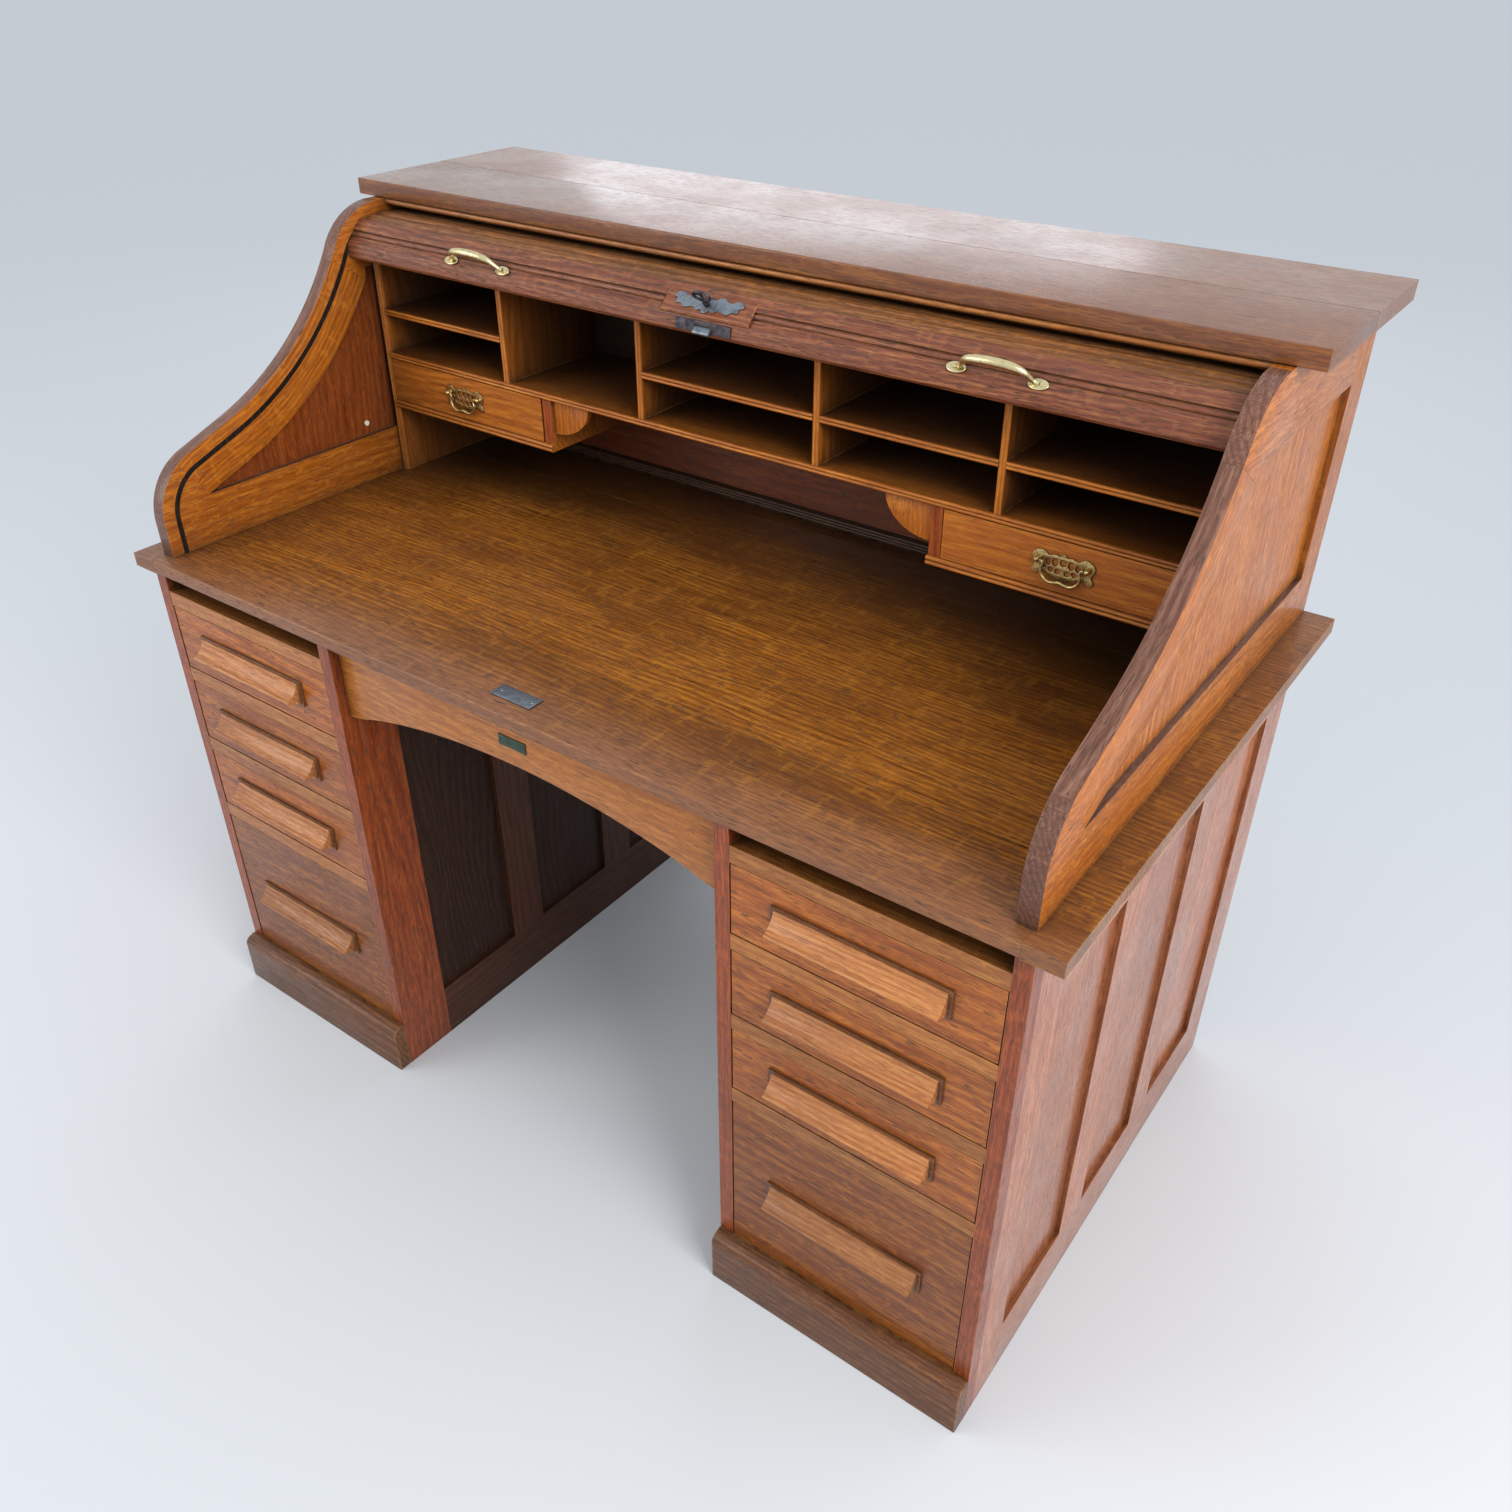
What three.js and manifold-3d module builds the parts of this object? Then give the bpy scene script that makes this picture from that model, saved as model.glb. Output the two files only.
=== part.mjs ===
// Roll top desk: two pedestals of drawers, a desktop, a pigeonhole unit and a slatted curtain that slides
// in grooves in two S-shaped gables. Millimetres, +X right, +Y back, +Z up. While it is built, y = 0 is the
// front edge of the desktop; the finished group is moved so that the origin is the middle of the base.
import * as THREE from "three";
import { mergeVertices } from "three/addons/utils/BufferGeometryUtils.js";
import Module from "manifold-3d";

const wasm = await Module();
wasm.setup();

// ---------- driving sizes ----------
const joint = 0.3; // space between pieces that touch
const overlap = 1; // how far pieces of one body run into each other

const deskWidth = 1396;
const deskDepth = 785;
const deskTopZ = 762;
const deskThick = 19;
const arris = 2; // worn edge of the boards

const topHalfWidth = 688;
const topFrontY = 469;
const topUnderZ = 1155;
const topThick = 22;
const beadHigh = 9;
const beadDeep = 9;

const gableInnerX = 637;
const gableThick = 22;
const gableFrontY = 22;
const gableBottomArc = { y: 112, z: 810, r: 90 };
const gableHollowArc = { y: 6, z: 1315.3, r: 421 };
const gableTopArc = { y: 457, z: 1055, r: 100 };
const slopeAngle = 20; // degrees from level where the lower round runs into the hollow
const steepAngle = 60; // degrees from level where the hollow runs into the upper round
const stile = 65;
const gablePanelBottomZ = 830;
const gablePanelTopZ = 1070;
const gablePanelBackY = 725;
const panelSunk = 8;
const grooveInset = 21; // groove's centre line, in from the gable's edge
const grooveWide = 7;
const grooveDeep = 7;
const rearArc = { y: 524, z: 894, r: 240 }; // where the curtain turns down behind the pigeonholes

const slatPitch = 22;
const slatCount = 27;
const slatHalf = 10.6;
const slatBackHalf = 9.6;
const slatCrown = 5.7;
const slatBack = 4;
const slatSideGap = 0.8;
const railAt = -56; // lock rail's middle, along the groove from the start of the level part
const railHalf = 26;
const railToSlat = 2;
const railFace = 5;
const railLowFace = 1.5;
const railBack = 15;
const railBevel = 11.5;

const caseFrontY = 430;
const caseBackY = 625;
const caseHalfWidth = 636.5;
const caseSide = 12;
const caseTopZ = 1082;
const caseTopThick = 8;
const caseBackThick = 6;
const shelfTopZ = 947;
const shelfThick = 9;
const midShelfTopZ = 1010;
const dividerXs = [-384, -137.5, 137.5, 384];
const nestInnerX = 301; // inner face of the posts beside the small drawers
const nestPost = 17;
const nestFloorZ = 864;
const nestFloorThick = 11;
const bracketReach = 65;
const bracketThick = 8;
const smallDrawerDeep = 178;
const smallDrawerGap = 0.8;
const innerBackY = 650;
const rearMouldDeep = 13;
const rearMouldHigh = 15;

const pedestalInnerX = 304;
const pedestalOuterX = 667;
const pedestalFrontY = 8;
const pedestalBackY = 766;
const postWide = 20;
const postDeep = 24;
const pedestalTopZ = deskTopZ - deskThick - joint;
const sidePanelTopZ = 650;
const sidePanelBottomZ = 90;
const sidePanelFrontY = 92;
const sidePanelBackY = 694;
const muntin = 65;
const sideSunk = 7;
const railTops = [715, 595, 475, 355];
const railHigh = 22;
const dustBoard = 6;
const runnerWide = 12;
const backPanelThick = 12;
const plinthHigh = 82;
const plinthReach = 20;
const drawerGap = 1.5;
const drawerFront = 20;
const drawerSide = 10;
const drawerBottom = 6;
const drawerLong = 650;
const drawerSetBack = 1;

const pullWide = 204;
const pullHigh = 31;
const pullReach = 22;
const pullLip = 9;
const pullPlate = { wide: 214, high: 38, thick: 3 };

const apronY = 22;
const apronThick = 20;
const apronEndZ = 630;
const apronMidZ = 675;

const bowSpan = 92;
const bowRise = 26;
const bowRod = 4.2;
const handleX = 382;
const blockHalf = 66;
const blockProud = 2;
const keyRod = 3;
const keyClear = 0.1;
const boltWide = 24;
const boltThick = 5;

// ---------- materials ----------
function material(color, roughness, metalness) {
  return new THREE.MeshStandardMaterial({ color, roughness, metalness });
}
const topOak = material(0x8a5f3c, 0.3, 0);
const deskOak = material(0x96673a, 0.35, 0);
const gableOak = material(0xa8672f, 0.4, 0);
const plumOak = material(0x7a4a36, 0.38, 0);
const slatOak = material(0x6b4630, 0.45, 0);
const paleOak = material(0xb5793a, 0.45, 0);
const frameOak = material(0x8c4a22, 0.42, 0);
const drawerOak = material(0xa96a34, 0.42, 0);
const pullOak = material(0xa87545, 0.38, 0);
const darkOak = material(0x5a3a22, 0.6, 0);
const brass = material(0xb9a05a, 0.28, 1);
const iron = material(0x3e3c42, 0.5, 0.9);
const steel = material(0x8d9298, 0.35, 1);
const badgeGreen = material(0x24352c, 0.5, 0.2);

// ---------- building blocks ----------
// A manifold solid from a three.js geometry.
function solid(geometry) {
  const bare = geometry.index ? geometry.toNonIndexed() : geometry.clone();
  bare.deleteAttribute("normal");
  bare.deleteAttribute("uv");
  const merged = mergeVertices(bare, 1e-4);
  const source = new wasm.Mesh({
    numProp: 3,
    vertProperties: merged.attributes.position.array,
    triVerts: new Uint32Array(merged.index.array),
  });
  return new wasm.Manifold(source);
}

function join(...bodies) {
  return bodies.reduce((whole, body) => whole.add(body));
}

function cut(body, ...tools) {
  return tools.reduce((whole, tool) => whole.subtract(tool), body);
}

function box(x0, x1, y0, y1, z0, z1) {
  const geometry = new THREE.BoxGeometry(x1 - x0, y1 - y0, z1 - z0);
  geometry.translate((x0 + x1) / 2, (y0 + y1) / 2, (z0 + z1) / 2);
  return solid(geometry);
}

// A profile drawn along the directions u and v from origin, pushed out along u x v.
function prism(points, length, origin, u, v) {
  const shape = new THREE.Shape(points.map(([a, b]) => new THREE.Vector2(a, b)));
  const geometry = new THREE.ExtrudeGeometry(shape, { depth: length, bevelEnabled: false });
  const w = new THREE.Vector3().crossVectors(u, v);
  const frame = new THREE.Matrix4().makeBasis(u, v, w).setPosition(origin);
  geometry.applyMatrix4(frame);
  return solid(geometry);
}
const east = new THREE.Vector3(1, 0, 0);
const north = new THREE.Vector3(0, 1, 0);
const up = new THREE.Vector3(0, 0, 1);

// Profiles of [y, z] and [x, z] points.
function alongX(points, x0, x1) {
  return prism(points, x1 - x0, new THREE.Vector3(x0, 0, 0), north, up);
}
function alongY(points, y0, y1) {
  return prism(points, y1 - y0, new THREE.Vector3(0, y1, 0), east, up);
}
// A round bar through the given points, with flat ends. All its bends lie square to the direction across.
function rod(path, radius, across, sides = 8) {
  const position = [];
  const rings = path.map((point, i) => {
    const before = path[Math.max(i - 1, 0)];
    const after = path[Math.min(i + 1, path.length - 1)];
    const along = new THREE.Vector3().subVectors(after, before).normalize();
    const third = new THREE.Vector3().crossVectors(along, across).normalize();
    return Array.from({ length: sides }, (_, k) => {
      const turn = (2 * Math.PI * k) / sides;
      return new THREE.Vector3()
        .addScaledVector(across, radius * Math.cos(turn))
        .addScaledVector(third, radius * Math.sin(turn))
        .add(point);
    });
  });
  const face = (a, b, c) => position.push(...a.toArray(), ...b.toArray(), ...c.toArray());
  for (let i = 0; i + 1 < rings.length; i += 1) {
    for (let k = 0; k < sides; k += 1) {
      const next = (k + 1) % sides;
      face(rings[i][k], rings[i][next], rings[i + 1][next]);
      face(rings[i][k], rings[i + 1][next], rings[i + 1][k]);
    }
  }
  const first = rings[0];
  const last = rings[rings.length - 1];
  for (let k = 1; k + 1 < sides; k += 1) {
    face(first[0], first[k + 1], first[k]);
    face(last[0], last[k], last[k + 1]);
  }
  const geometry = new THREE.BufferGeometry();
  geometry.setAttribute("position", new THREE.Float32BufferAttribute(position, 3));
  return solid(geometry);
}

function drum(radius, from, to, sides = 12) {
  const along = new THREE.Vector3().subVectors(to, from).normalize();
  const across = Math.abs(along.x) > 0.5 ? up : east;
  return rod([from, to], radius, across, sides);
}

// An ellipse as a closed outline.
function oval(cx, cy, rx, ry, sides = 12) {
  return Array.from({ length: sides }, (_, k) => {
    const turn = (2 * Math.PI * k) / sides;
    return [cx + rx * Math.cos(turn), cy + ry * Math.sin(turn)];
  });
}

const desk = new THREE.Group();
desk.name = "roll_top_desk";

function add(name, body, finish) {
  const made = body.getMesh();
  const geometry = new THREE.BufferGeometry();
  geometry.setAttribute("position", new THREE.BufferAttribute(new Float32Array(made.vertProperties), 3));
  geometry.setIndex(new THREE.BufferAttribute(new Uint32Array(made.triVerts), 1));
  const flat = geometry.toNonIndexed();
  flat.computeVertexNormals();
  const mesh = new THREE.Mesh(flat, finish);
  mesh.name = name;
  desk.add(mesh);
}

const sides = [
  { name: "left", sign: -1 },
  { name: "right", sign: 1 },
];

// The two ends of an x range given as distances from the middle, on the left or the right.
function span(sign, near, far) {
  return sign < 0 ? [-far, -near] : [near, far];
}

// ---------- S curve ----------
const radians = (degrees) => (degrees * Math.PI) / 180;

// Points on the gable's front edge, moved in by the given distance, from the bottom up.
function edgePoints(inset, topZ) {
  const points = [];
  for (let angle = 90; angle >= slopeAngle; angle -= 5) {
    const r = gableBottomArc.r - inset;
    const a = radians(angle);
    points.push([gableBottomArc.y - r * Math.sin(a), gableBottomArc.z + r * Math.cos(a)]);
  }
  for (let angle = slopeAngle; angle <= steepAngle; angle += 2.5) {
    const r = gableHollowArc.r + inset;
    const a = radians(angle);
    points.push([gableHollowArc.y + r * Math.sin(a), gableHollowArc.z - r * Math.cos(a)]);
  }
  for (let angle = steepAngle - 5; angle >= 0; angle -= 5) {
    const r = gableTopArc.r - inset;
    const a = radians(angle);
    points.push([gableTopArc.y - r * Math.sin(a), gableTopArc.z + r * Math.cos(a)]);
  }
  return topZ === undefined ? points : points.filter(([, z]) => z < topZ);
}

// Place on the groove's centre line: along is measured from the start of the level part, positive
// towards the back, and tilt is the slope of the line there.
const trackTopR = gableTopArc.r - grooveInset;
const trackHollowR = gableHollowArc.r + grooveInset;
const trackLevelZ = gableTopArc.z + trackTopR;
const trackLevelLong = rearArc.y - gableTopArc.y;
const trackArcLong = (Math.PI / 2) * rearArc.r;
function track(along) {
  const arcLong = radians(steepAngle) * trackTopR;
  if (along < -arcLong) {
    const tilt = radians(steepAngle) - (-along - arcLong) / trackHollowR;
    return {
      y: gableHollowArc.y + trackHollowR * Math.sin(tilt),
      z: gableHollowArc.z - trackHollowR * Math.cos(tilt),
      tilt,
    };
  }
  if (along < 0) {
    const tilt = -along / trackTopR;
    return {
      y: gableTopArc.y - trackTopR * Math.sin(tilt),
      z: gableTopArc.z + trackTopR * Math.cos(tilt),
      tilt,
    };
  }
  if (along < trackLevelLong) {
    return { y: gableTopArc.y + along, z: trackLevelZ, tilt: 0 };
  }
  if (along < trackLevelLong + trackArcLong) {
    const turn = (along - trackLevelLong) / rearArc.r;
    return { y: rearArc.y + rearArc.r * Math.sin(turn), z: rearArc.z + rearArc.r * Math.cos(turn), tilt: -turn };
  }
  const drop = along - trackLevelLong - trackArcLong;
  return { y: rearArc.y + rearArc.r, z: rearArc.z - drop, tilt: -Math.PI / 2 };
}

// ---------- desktop and top board ----------
const deskBottomZ = deskTopZ - deskThick;
function boardEdge(y0, y1, z0, z1) {
  return [
    [y0, z0 + arris],
    [y0 + arris, z0],
    [y1, z0],
    [y1, z1],
    [y0 + arris, z1],
    [y0, z1 - arris],
  ];
}
add(
  "desktop",
  alongX(boardEdge(0, deskDepth, deskBottomZ, deskTopZ), -deskWidth / 2, deskWidth / 2),
  deskOak,
);
const bead = box(
  -gableInnerX + joint,
  gableInnerX - joint,
  topFrontY + joint,
  topFrontY + beadDeep,
  topUnderZ - beadHigh,
  topUnderZ + overlap,
);
const topSlab = alongX(boardEdge(topFrontY, deskDepth, topUnderZ, topUnderZ + topThick), -topHalfWidth, topHalfWidth);
add("top_board", join(topSlab, bead), topOak);

// ---------- gables ----------
const gableBottomZ = deskTopZ + joint;
const gableTopZ = topUnderZ - joint;
const gableOutline = [
  [gableFrontY, gableBottomZ],
  ...edgePoints(0, gableTopZ - 1),
  [gableTopArc.y - 8, gableTopZ],
  [deskDepth, gableTopZ],
  [deskDepth, gableBottomZ],
].reverse();
const panelFront = edgePoints(stile, gablePanelTopZ - 1).filter(([, z]) => z > gablePanelBottomZ + 1);
const panelOutline = [
  [gableBottomArc.y - 15, gablePanelBottomZ],
  ...panelFront,
  [panelFront[panelFront.length - 1][0] + 3, gablePanelTopZ],
];
const outerPanel = [...panelOutline, [gablePanelBackY, gablePanelTopZ], [gablePanelBackY, gablePanelBottomZ]].reverse();
// On the inside the panel's top corner is cut off, to leave wood for the groove.
const grooveKeep = rearArc.r - grooveWide;
const cornerTurn = [40, 52].map((angle) => [
  rearArc.y + (grooveKeep - 8) * Math.cos(radians(90 - angle)),
  rearArc.z + (grooveKeep - 8) * Math.sin(radians(90 - angle)),
]);
const innerPanel = [
  ...panelOutline,
  [cornerTurn[0][0] - 4, gablePanelTopZ],
  ...cornerTurn,
  [gablePanelBackY, cornerTurn[1][1] - 38],
  [gablePanelBackY, gablePanelBottomZ],
].reverse();
// The groove's two walls, from the front bottom, over the top and down at the back.
function grooveOutline() {
  const centre = edgePoints(grooveInset).map(([y, z], i, all) => {
    const [y0, z0] = all[Math.max(i - 1, 0)];
    const [y1, z1] = all[Math.min(i + 1, all.length - 1)];
    return { y, z, tilt: Math.atan2(z1 - z0, y1 - y0) };
  });
  centre[0].tilt = Math.PI / 2;
  centre[centre.length - 1].tilt = 0;
  centre.unshift({ y: centre[0].y, z: gableBottomZ - overlap, tilt: Math.PI / 2 });
  for (let turn = 0; turn <= 90; turn += 10) {
    centre.push(track(trackLevelLong + (trackArcLong * turn) / 90));
  }
  centre.push({ y: rearArc.y + rearArc.r, z: gableBottomZ - overlap, tilt: -Math.PI / 2 });
  const wall = (side) =>
    centre.map(({ y, z, tilt }) => [
      y - (side * Math.sin(tilt) * grooveWide) / 2,
      z + (side * Math.cos(tilt) * grooveWide) / 2,
    ]);
  return [...wall(-1), ...wall(1).reverse()];
}
for (const { name, sign } of sides) {
  const outer = gableInnerX + gableThick;
  const plate = alongX(gableOutline, ...span(sign, gableInnerX, outer));
  const outside = alongX(outerPanel, ...span(sign, outer - panelSunk, outer + overlap));
  const inside = alongX(innerPanel, ...span(sign, gableInnerX - overlap, gableInnerX + panelSunk));
  const groove = alongX(grooveOutline(), ...span(sign, gableInnerX - overlap, gableInnerX + grooveDeep));
  add(`gable_${name}`, cut(plate, outside, inside, groove), gableOak);
}

// A board standing across the desk or along it, with sunk panels: holes is a list of [low, high] ranges.
function panelRanges(low, high, count, bar) {
  const wide = (high - low - (count - 1) * bar) / count;
  return Array.from({ length: count }, (_, k) => [low + k * (wide + bar), low + k * (wide + bar) + wide]);
}

// ---------- backs of the upper part ----------
const upperHalf = gableInnerX - joint;
const upperBackFrontY = rearArc.y + rearArc.r + slatCrown + 4;
const upperBackPanels = panelRanges(-upperHalf + stile, upperHalf - stile, 3, muntin).map(([x0, x1]) =>
  box(x0, x1, deskDepth - 5, deskDepth + overlap, deskTopZ + 70, topUnderZ - 70),
);
add(
  "upper_back",
  cut(box(-upperHalf, upperHalf, upperBackFrontY, deskDepth, gableBottomZ, gableTopZ), ...upperBackPanels),
  darkOak,
);
const innerBackTopZ = caseTopZ - 2;
const rearMould = alongX(
  [
    [innerBackY - rearMouldDeep, gableBottomZ],
    [innerBackY + overlap, gableBottomZ],
    [innerBackY + overlap, gableBottomZ + rearMouldHigh],
    [innerBackY - 5, gableBottomZ + rearMouldHigh],
    [innerBackY - 7, gableBottomZ + rearMouldHigh / 2],
    [innerBackY - rearMouldDeep, gableBottomZ + rearMouldHigh / 2 - 1],
  ],
  -caseHalfWidth,
  caseHalfWidth,
);
const innerBack = box(-caseHalfWidth, caseHalfWidth, innerBackY, innerBackY + 6, gableBottomZ, innerBackTopZ);
add("inner_back", join(innerBack, rearMould), frameOak);

// ---------- pigeonhole unit ----------
const nestPostTopZ = shelfTopZ - shelfThick - joint;
const nestFloorTopZ = nestFloorZ + nestFloorThick;
const caseInnerX = caseHalfWidth - caseSide;
function caseBody() {
  const parts = [box(-caseHalfWidth, caseHalfWidth, caseFrontY, caseBackY, caseTopZ - caseTopThick, caseTopZ)];
  for (const { sign } of sides) {
    parts.push(box(...span(sign, caseInnerX, caseHalfWidth), caseFrontY, caseBackY, gableBottomZ, caseTopZ - 1));
  }
  return join(...parts);
}
// Back of the pigeonholes with a housing for a small drawer at each end.
const nestOuterX = caseInnerX - joint;
function nestBody() {
  const parts = [
    box(
      -nestOuterX,
      nestOuterX,
      caseBackY - caseBackThick,
      caseBackY,
      shelfTopZ - 20,
      caseTopZ - caseTopThick - joint,
    ),
  ];
  for (const { sign } of sides) {
    parts.push(box(...span(sign, nestInnerX, nestOuterX), caseFrontY - 4, caseBackY, nestFloorZ, nestFloorTopZ));
    parts.push(
      box(
        ...span(sign, nestInnerX, nestOuterX),
        caseBackY - caseBackThick,
        caseBackY,
        nestFloorZ + overlap,
        shelfTopZ - 15,
      ),
    );
    const postX = span(sign, nestInnerX, nestInnerX + nestPost);
    parts.push(box(...postX, caseFrontY, caseBackY, nestFloorZ + overlap, nestPostTopZ));
    const bracket = [[nestInnerX + overlap, nestPostTopZ]];
    for (let angle = 0; angle <= 90; angle += 15) {
      bracket.push([
        nestInnerX - bracketReach * Math.cos(radians(angle)),
        nestPostTopZ - 48 * Math.sin(radians(angle)),
      ]);
    }
    bracket.push([nestInnerX + overlap, nestPostTopZ - 48]);
    const outline = bracket.map(([x, z]) => [sign * x, z]);
    parts.push(alongY(sign > 0 ? outline : outline.reverse(), caseFrontY + 6, caseFrontY + 6 + bracketThick));
  }
  return join(...parts);
}
// The shelf under the pigeonholes passes in front of the case's back and over the brackets.
const gridBackY = caseBackY - caseBackThick - joint;
const gridHalf = caseInnerX - joint;
const gridTopZ = caseTopZ - caseTopThick - joint;
const gridShelfRoom = box(-gridHalf - joint, gridHalf + joint, caseFrontY - 5, gridBackY + joint, nestPostTopZ, shelfTopZ + 1);
add("pigeonhole_case", caseBody(), paleOak);
add("pigeonhole_nests", cut(nestBody(), gridShelfRoom), paleOak);
function gridBody() {
  const parts = [box(-gridHalf, gridHalf, caseFrontY - 2, gridBackY, shelfTopZ - shelfThick, shelfTopZ)];
  for (const x of dividerXs) {
    parts.push(box(x - shelfThick / 2, x + shelfThick / 2, caseFrontY, gridBackY, shelfTopZ - 1, gridTopZ));
  }
  const ranges = [
    [-gridHalf, dividerXs[0]],
    [dividerXs[1], gridHalf],
  ];
  for (const [x0, x1] of ranges) {
    parts.push(box(x0, x1, caseFrontY + 1, gridBackY, midShelfTopZ - shelfThick, midShelfTopZ));
  }
  return join(...parts);
}
add("pigeonhole_grid", gridBody(), paleOak);

// ---------- small drawers ----------
const smallX0 = nestInnerX + nestPost + smallDrawerGap;
const smallX1 = caseInnerX - smallDrawerGap;
const smallZ0 = nestFloorTopZ + smallDrawerGap;
const smallZ1 = nestPostTopZ - smallDrawerGap;
// An open box behind a front: all sizes are outer ones.
function drawerBody(x0, x1, y0, z0, z1, long, front, side, bottom, sideDrop) {
  const shell = join(
    box(x0, x1, y0, y0 + front, z0, z1),
    box(x0, x1, y0 + front - overlap, y0 + long, z0, z1 - sideDrop),
  );
  return cut(shell, box(x0 + side, x1 - side, y0 + front, y0 + long - side, z0 + bottom, z1 + overlap));
}
const smallMidX = (smallX0 + smallX1) / 2;
const smallMidZ = (smallZ0 + smallZ1) / 2;
const plateHalf = 38.5;
const batWing = [
  [0, 17],
  [5, 13],
  [11, 14],
  [19, 12],
  [26, 17],
  [34, 14],
  [plateHalf, 7],
  [35, 1],
  [36, -8],
  [31, -15],
  [24, -9],
  [14, -13],
  [6, -16],
];
const batOutline = [...batWing, ...batWing.slice(1).reverse().map(([x, z]) => [-x, z])].reverse();
const bailPivot = 27;
const bailDrop = 23;
for (const { name, sign } of sides) {
  const [x0, x1] = span(sign, smallX0, smallX1);
  const middle = sign * smallMidX;
  const body = drawerBody(x0, x1, caseFrontY, smallZ0, smallZ1, smallDrawerDeep, 15, 7, 4, 6);
  add(`small_drawer_${name}`, body, paleOak);
  const outline = batOutline.map(([x, z]) => [middle + x, smallMidZ + z]);
  const plateFrontY = caseFrontY - joint - 1.6;
  const pivotZ = smallMidZ + 5;
  const plate = [alongY(outline, plateFrontY, caseFrontY - joint)];
  for (const end of [-1, 1]) {
    const x = middle + end * (bailPivot + 3);
    const from = new THREE.Vector3(x, plateFrontY - 8, pivotZ);
    plate.push(drum(3, from, new THREE.Vector3(x, plateFrontY + 1, pivotZ), 10));
  }
  add(`backplate_${name}`, join(...plate), brass);
  const bailY = plateFrontY - 5;
  const bailPath = [
    [-bailPivot + 0.3, 0],
    [-bailPivot + 3, 0],
    [-bailPivot + 4.5, -3],
    [-bailPivot + 3.5, -10],
    [-bailPivot + 6, -18],
    [-bailPivot + 12, -bailDrop],
    [0, -bailDrop + 1.5],
    [bailPivot - 12, -bailDrop],
    [bailPivot - 6, -18],
    [bailPivot - 3.5, -10],
    [bailPivot - 4.5, -3],
    [bailPivot - 3, 0],
    [bailPivot - 0.3, 0],
  ].map(([x, z]) => new THREE.Vector3(middle + x, bailY, pivotZ + z));
  add(`bail_${name}`, rod(bailPath, 1.7, north, 8), brass);
}

// ---------- pedestals ----------
const slotInner = pedestalInnerX + postWide;
const slotOuter = pedestalOuterX - postWide;
const postBackY = pedestalFrontY + postDeep;
const sideFrontY = postBackY + joint;
const backPanelY = pedestalBackY - backPanelThick;
const runnerBackY = backPanelY - joint;
const bottomRailTop = plinthHigh;
function sideBoard(sign, near, far, sunkFace, bottomZ) {
  const board = box(...span(sign, near, far), sideFrontY, pedestalBackY, bottomZ, pedestalTopZ);
  const deep = sunkFace > 0 ? [far - sideSunk, far + overlap] : [near - overlap, near + sideSunk];
  const sunk = panelRanges(sidePanelFrontY, sidePanelBackY, 3, muntin).map(([y0, y1]) =>
    box(...span(sign, ...deep), y0, y1, sidePanelBottomZ, sidePanelTopZ),
  );
  return cut(board, ...sunk);
}
function faceFrame(sign) {
  const parts = [
    box(...span(sign, pedestalInnerX, slotInner), pedestalFrontY, postBackY, 0, pedestalTopZ),
    box(...span(sign, slotOuter, pedestalOuterX), pedestalFrontY, postBackY, 0, pedestalTopZ),
  ];
  const inner = slotInner + joint;
  const outer = slotOuter - joint;
  for (const top of [...railTops, bottomRailTop]) {
    parts.push(
      box(...span(sign, slotInner - overlap, slotOuter + overlap), pedestalFrontY, postBackY, top - railHigh, top),
    );
    parts.push(box(...span(sign, inner, inner + runnerWide), postBackY - overlap, runnerBackY, top - railHigh, top));
    parts.push(box(...span(sign, outer - runnerWide, outer), postBackY - overlap, runnerBackY, top - railHigh, top));
  }
  const [slideFloor] = railTops;
  parts.push(
    box(...span(sign, inner + overlap, outer - overlap), postBackY - overlap, runnerBackY, slideFloor - dustBoard, slideFloor),
  );
  return join(...parts);
}
function plinth(sign) {
  const frontY = pedestalFrontY - plinthReach;
  const profile = [
    [frontY, 0],
    [pedestalFrontY - joint, 0],
    [pedestalFrontY - joint, plinthHigh],
    [pedestalFrontY - 6, plinthHigh],
  ];
  for (let angle = 90; angle >= 0; angle -= 22.5) {
    const reach = plinthReach - 6;
    profile.push([
      pedestalFrontY - 6 - reach * Math.cos(radians(angle)),
      plinthHigh - 14 + 12 * Math.sin(radians(angle)),
    ]);
  }
  return alongX(profile, ...span(sign, pedestalInnerX, pedestalOuterX));
}
const backSunk = 5;
const drawerLevels = [
  { top: railTops[0] - railHigh, bottom: railTops[1] },
  { top: railTops[1] - railHigh, bottom: railTops[2] },
  { top: railTops[2] - railHigh, bottom: railTops[3] },
  { top: railTops[3] - railHigh, bottom: bottomRailTop },
];
const pullMidX = (slotInner + slotOuter) / 2;
const drawerFaceY = pedestalFrontY + drawerSetBack;
// Wooden pull: hollow-curved above, thin at its lip, rising underneath towards the lip for the fingers.
function pullBody(x, z) {
  const rootY = drawerFaceY - joint;
  const plateY = rootY - pullPlate.thick;
  const low = z - pullHigh / 2;
  const tipY = pedestalFrontY - pullReach;
  const profile = [
    [rootY - 1, low],
    [rootY - 1, low + pullHigh],
    [plateY - 2, low + pullHigh],
  ];
  const reach = plateY - 2 - tipY - 3;
  const fall = pullHigh - pullLip - 5;
  for (let angle = 15; angle <= 90; angle += 15) {
    const a = radians(angle);
    profile.push([plateY - 2 - reach * (1 - Math.cos(a)), low + pullHigh - 2 - fall * Math.sin(a)]);
  }
  profile.push([tipY, low + pullLip + 2], [tipY, low + pullLip - 3], [tipY + 4, low + 5], [plateY - 4, low]);
  const grip = alongX(profile, x - pullWide / 2, x + pullWide / 2);
  const plate = box(
    x - pullPlate.wide / 2,
    x + pullPlate.wide / 2,
    plateY,
    rootY,
    z - pullPlate.high / 2,
    z + pullPlate.high / 2,
  );
  return join(grip, plate);
}
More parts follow.
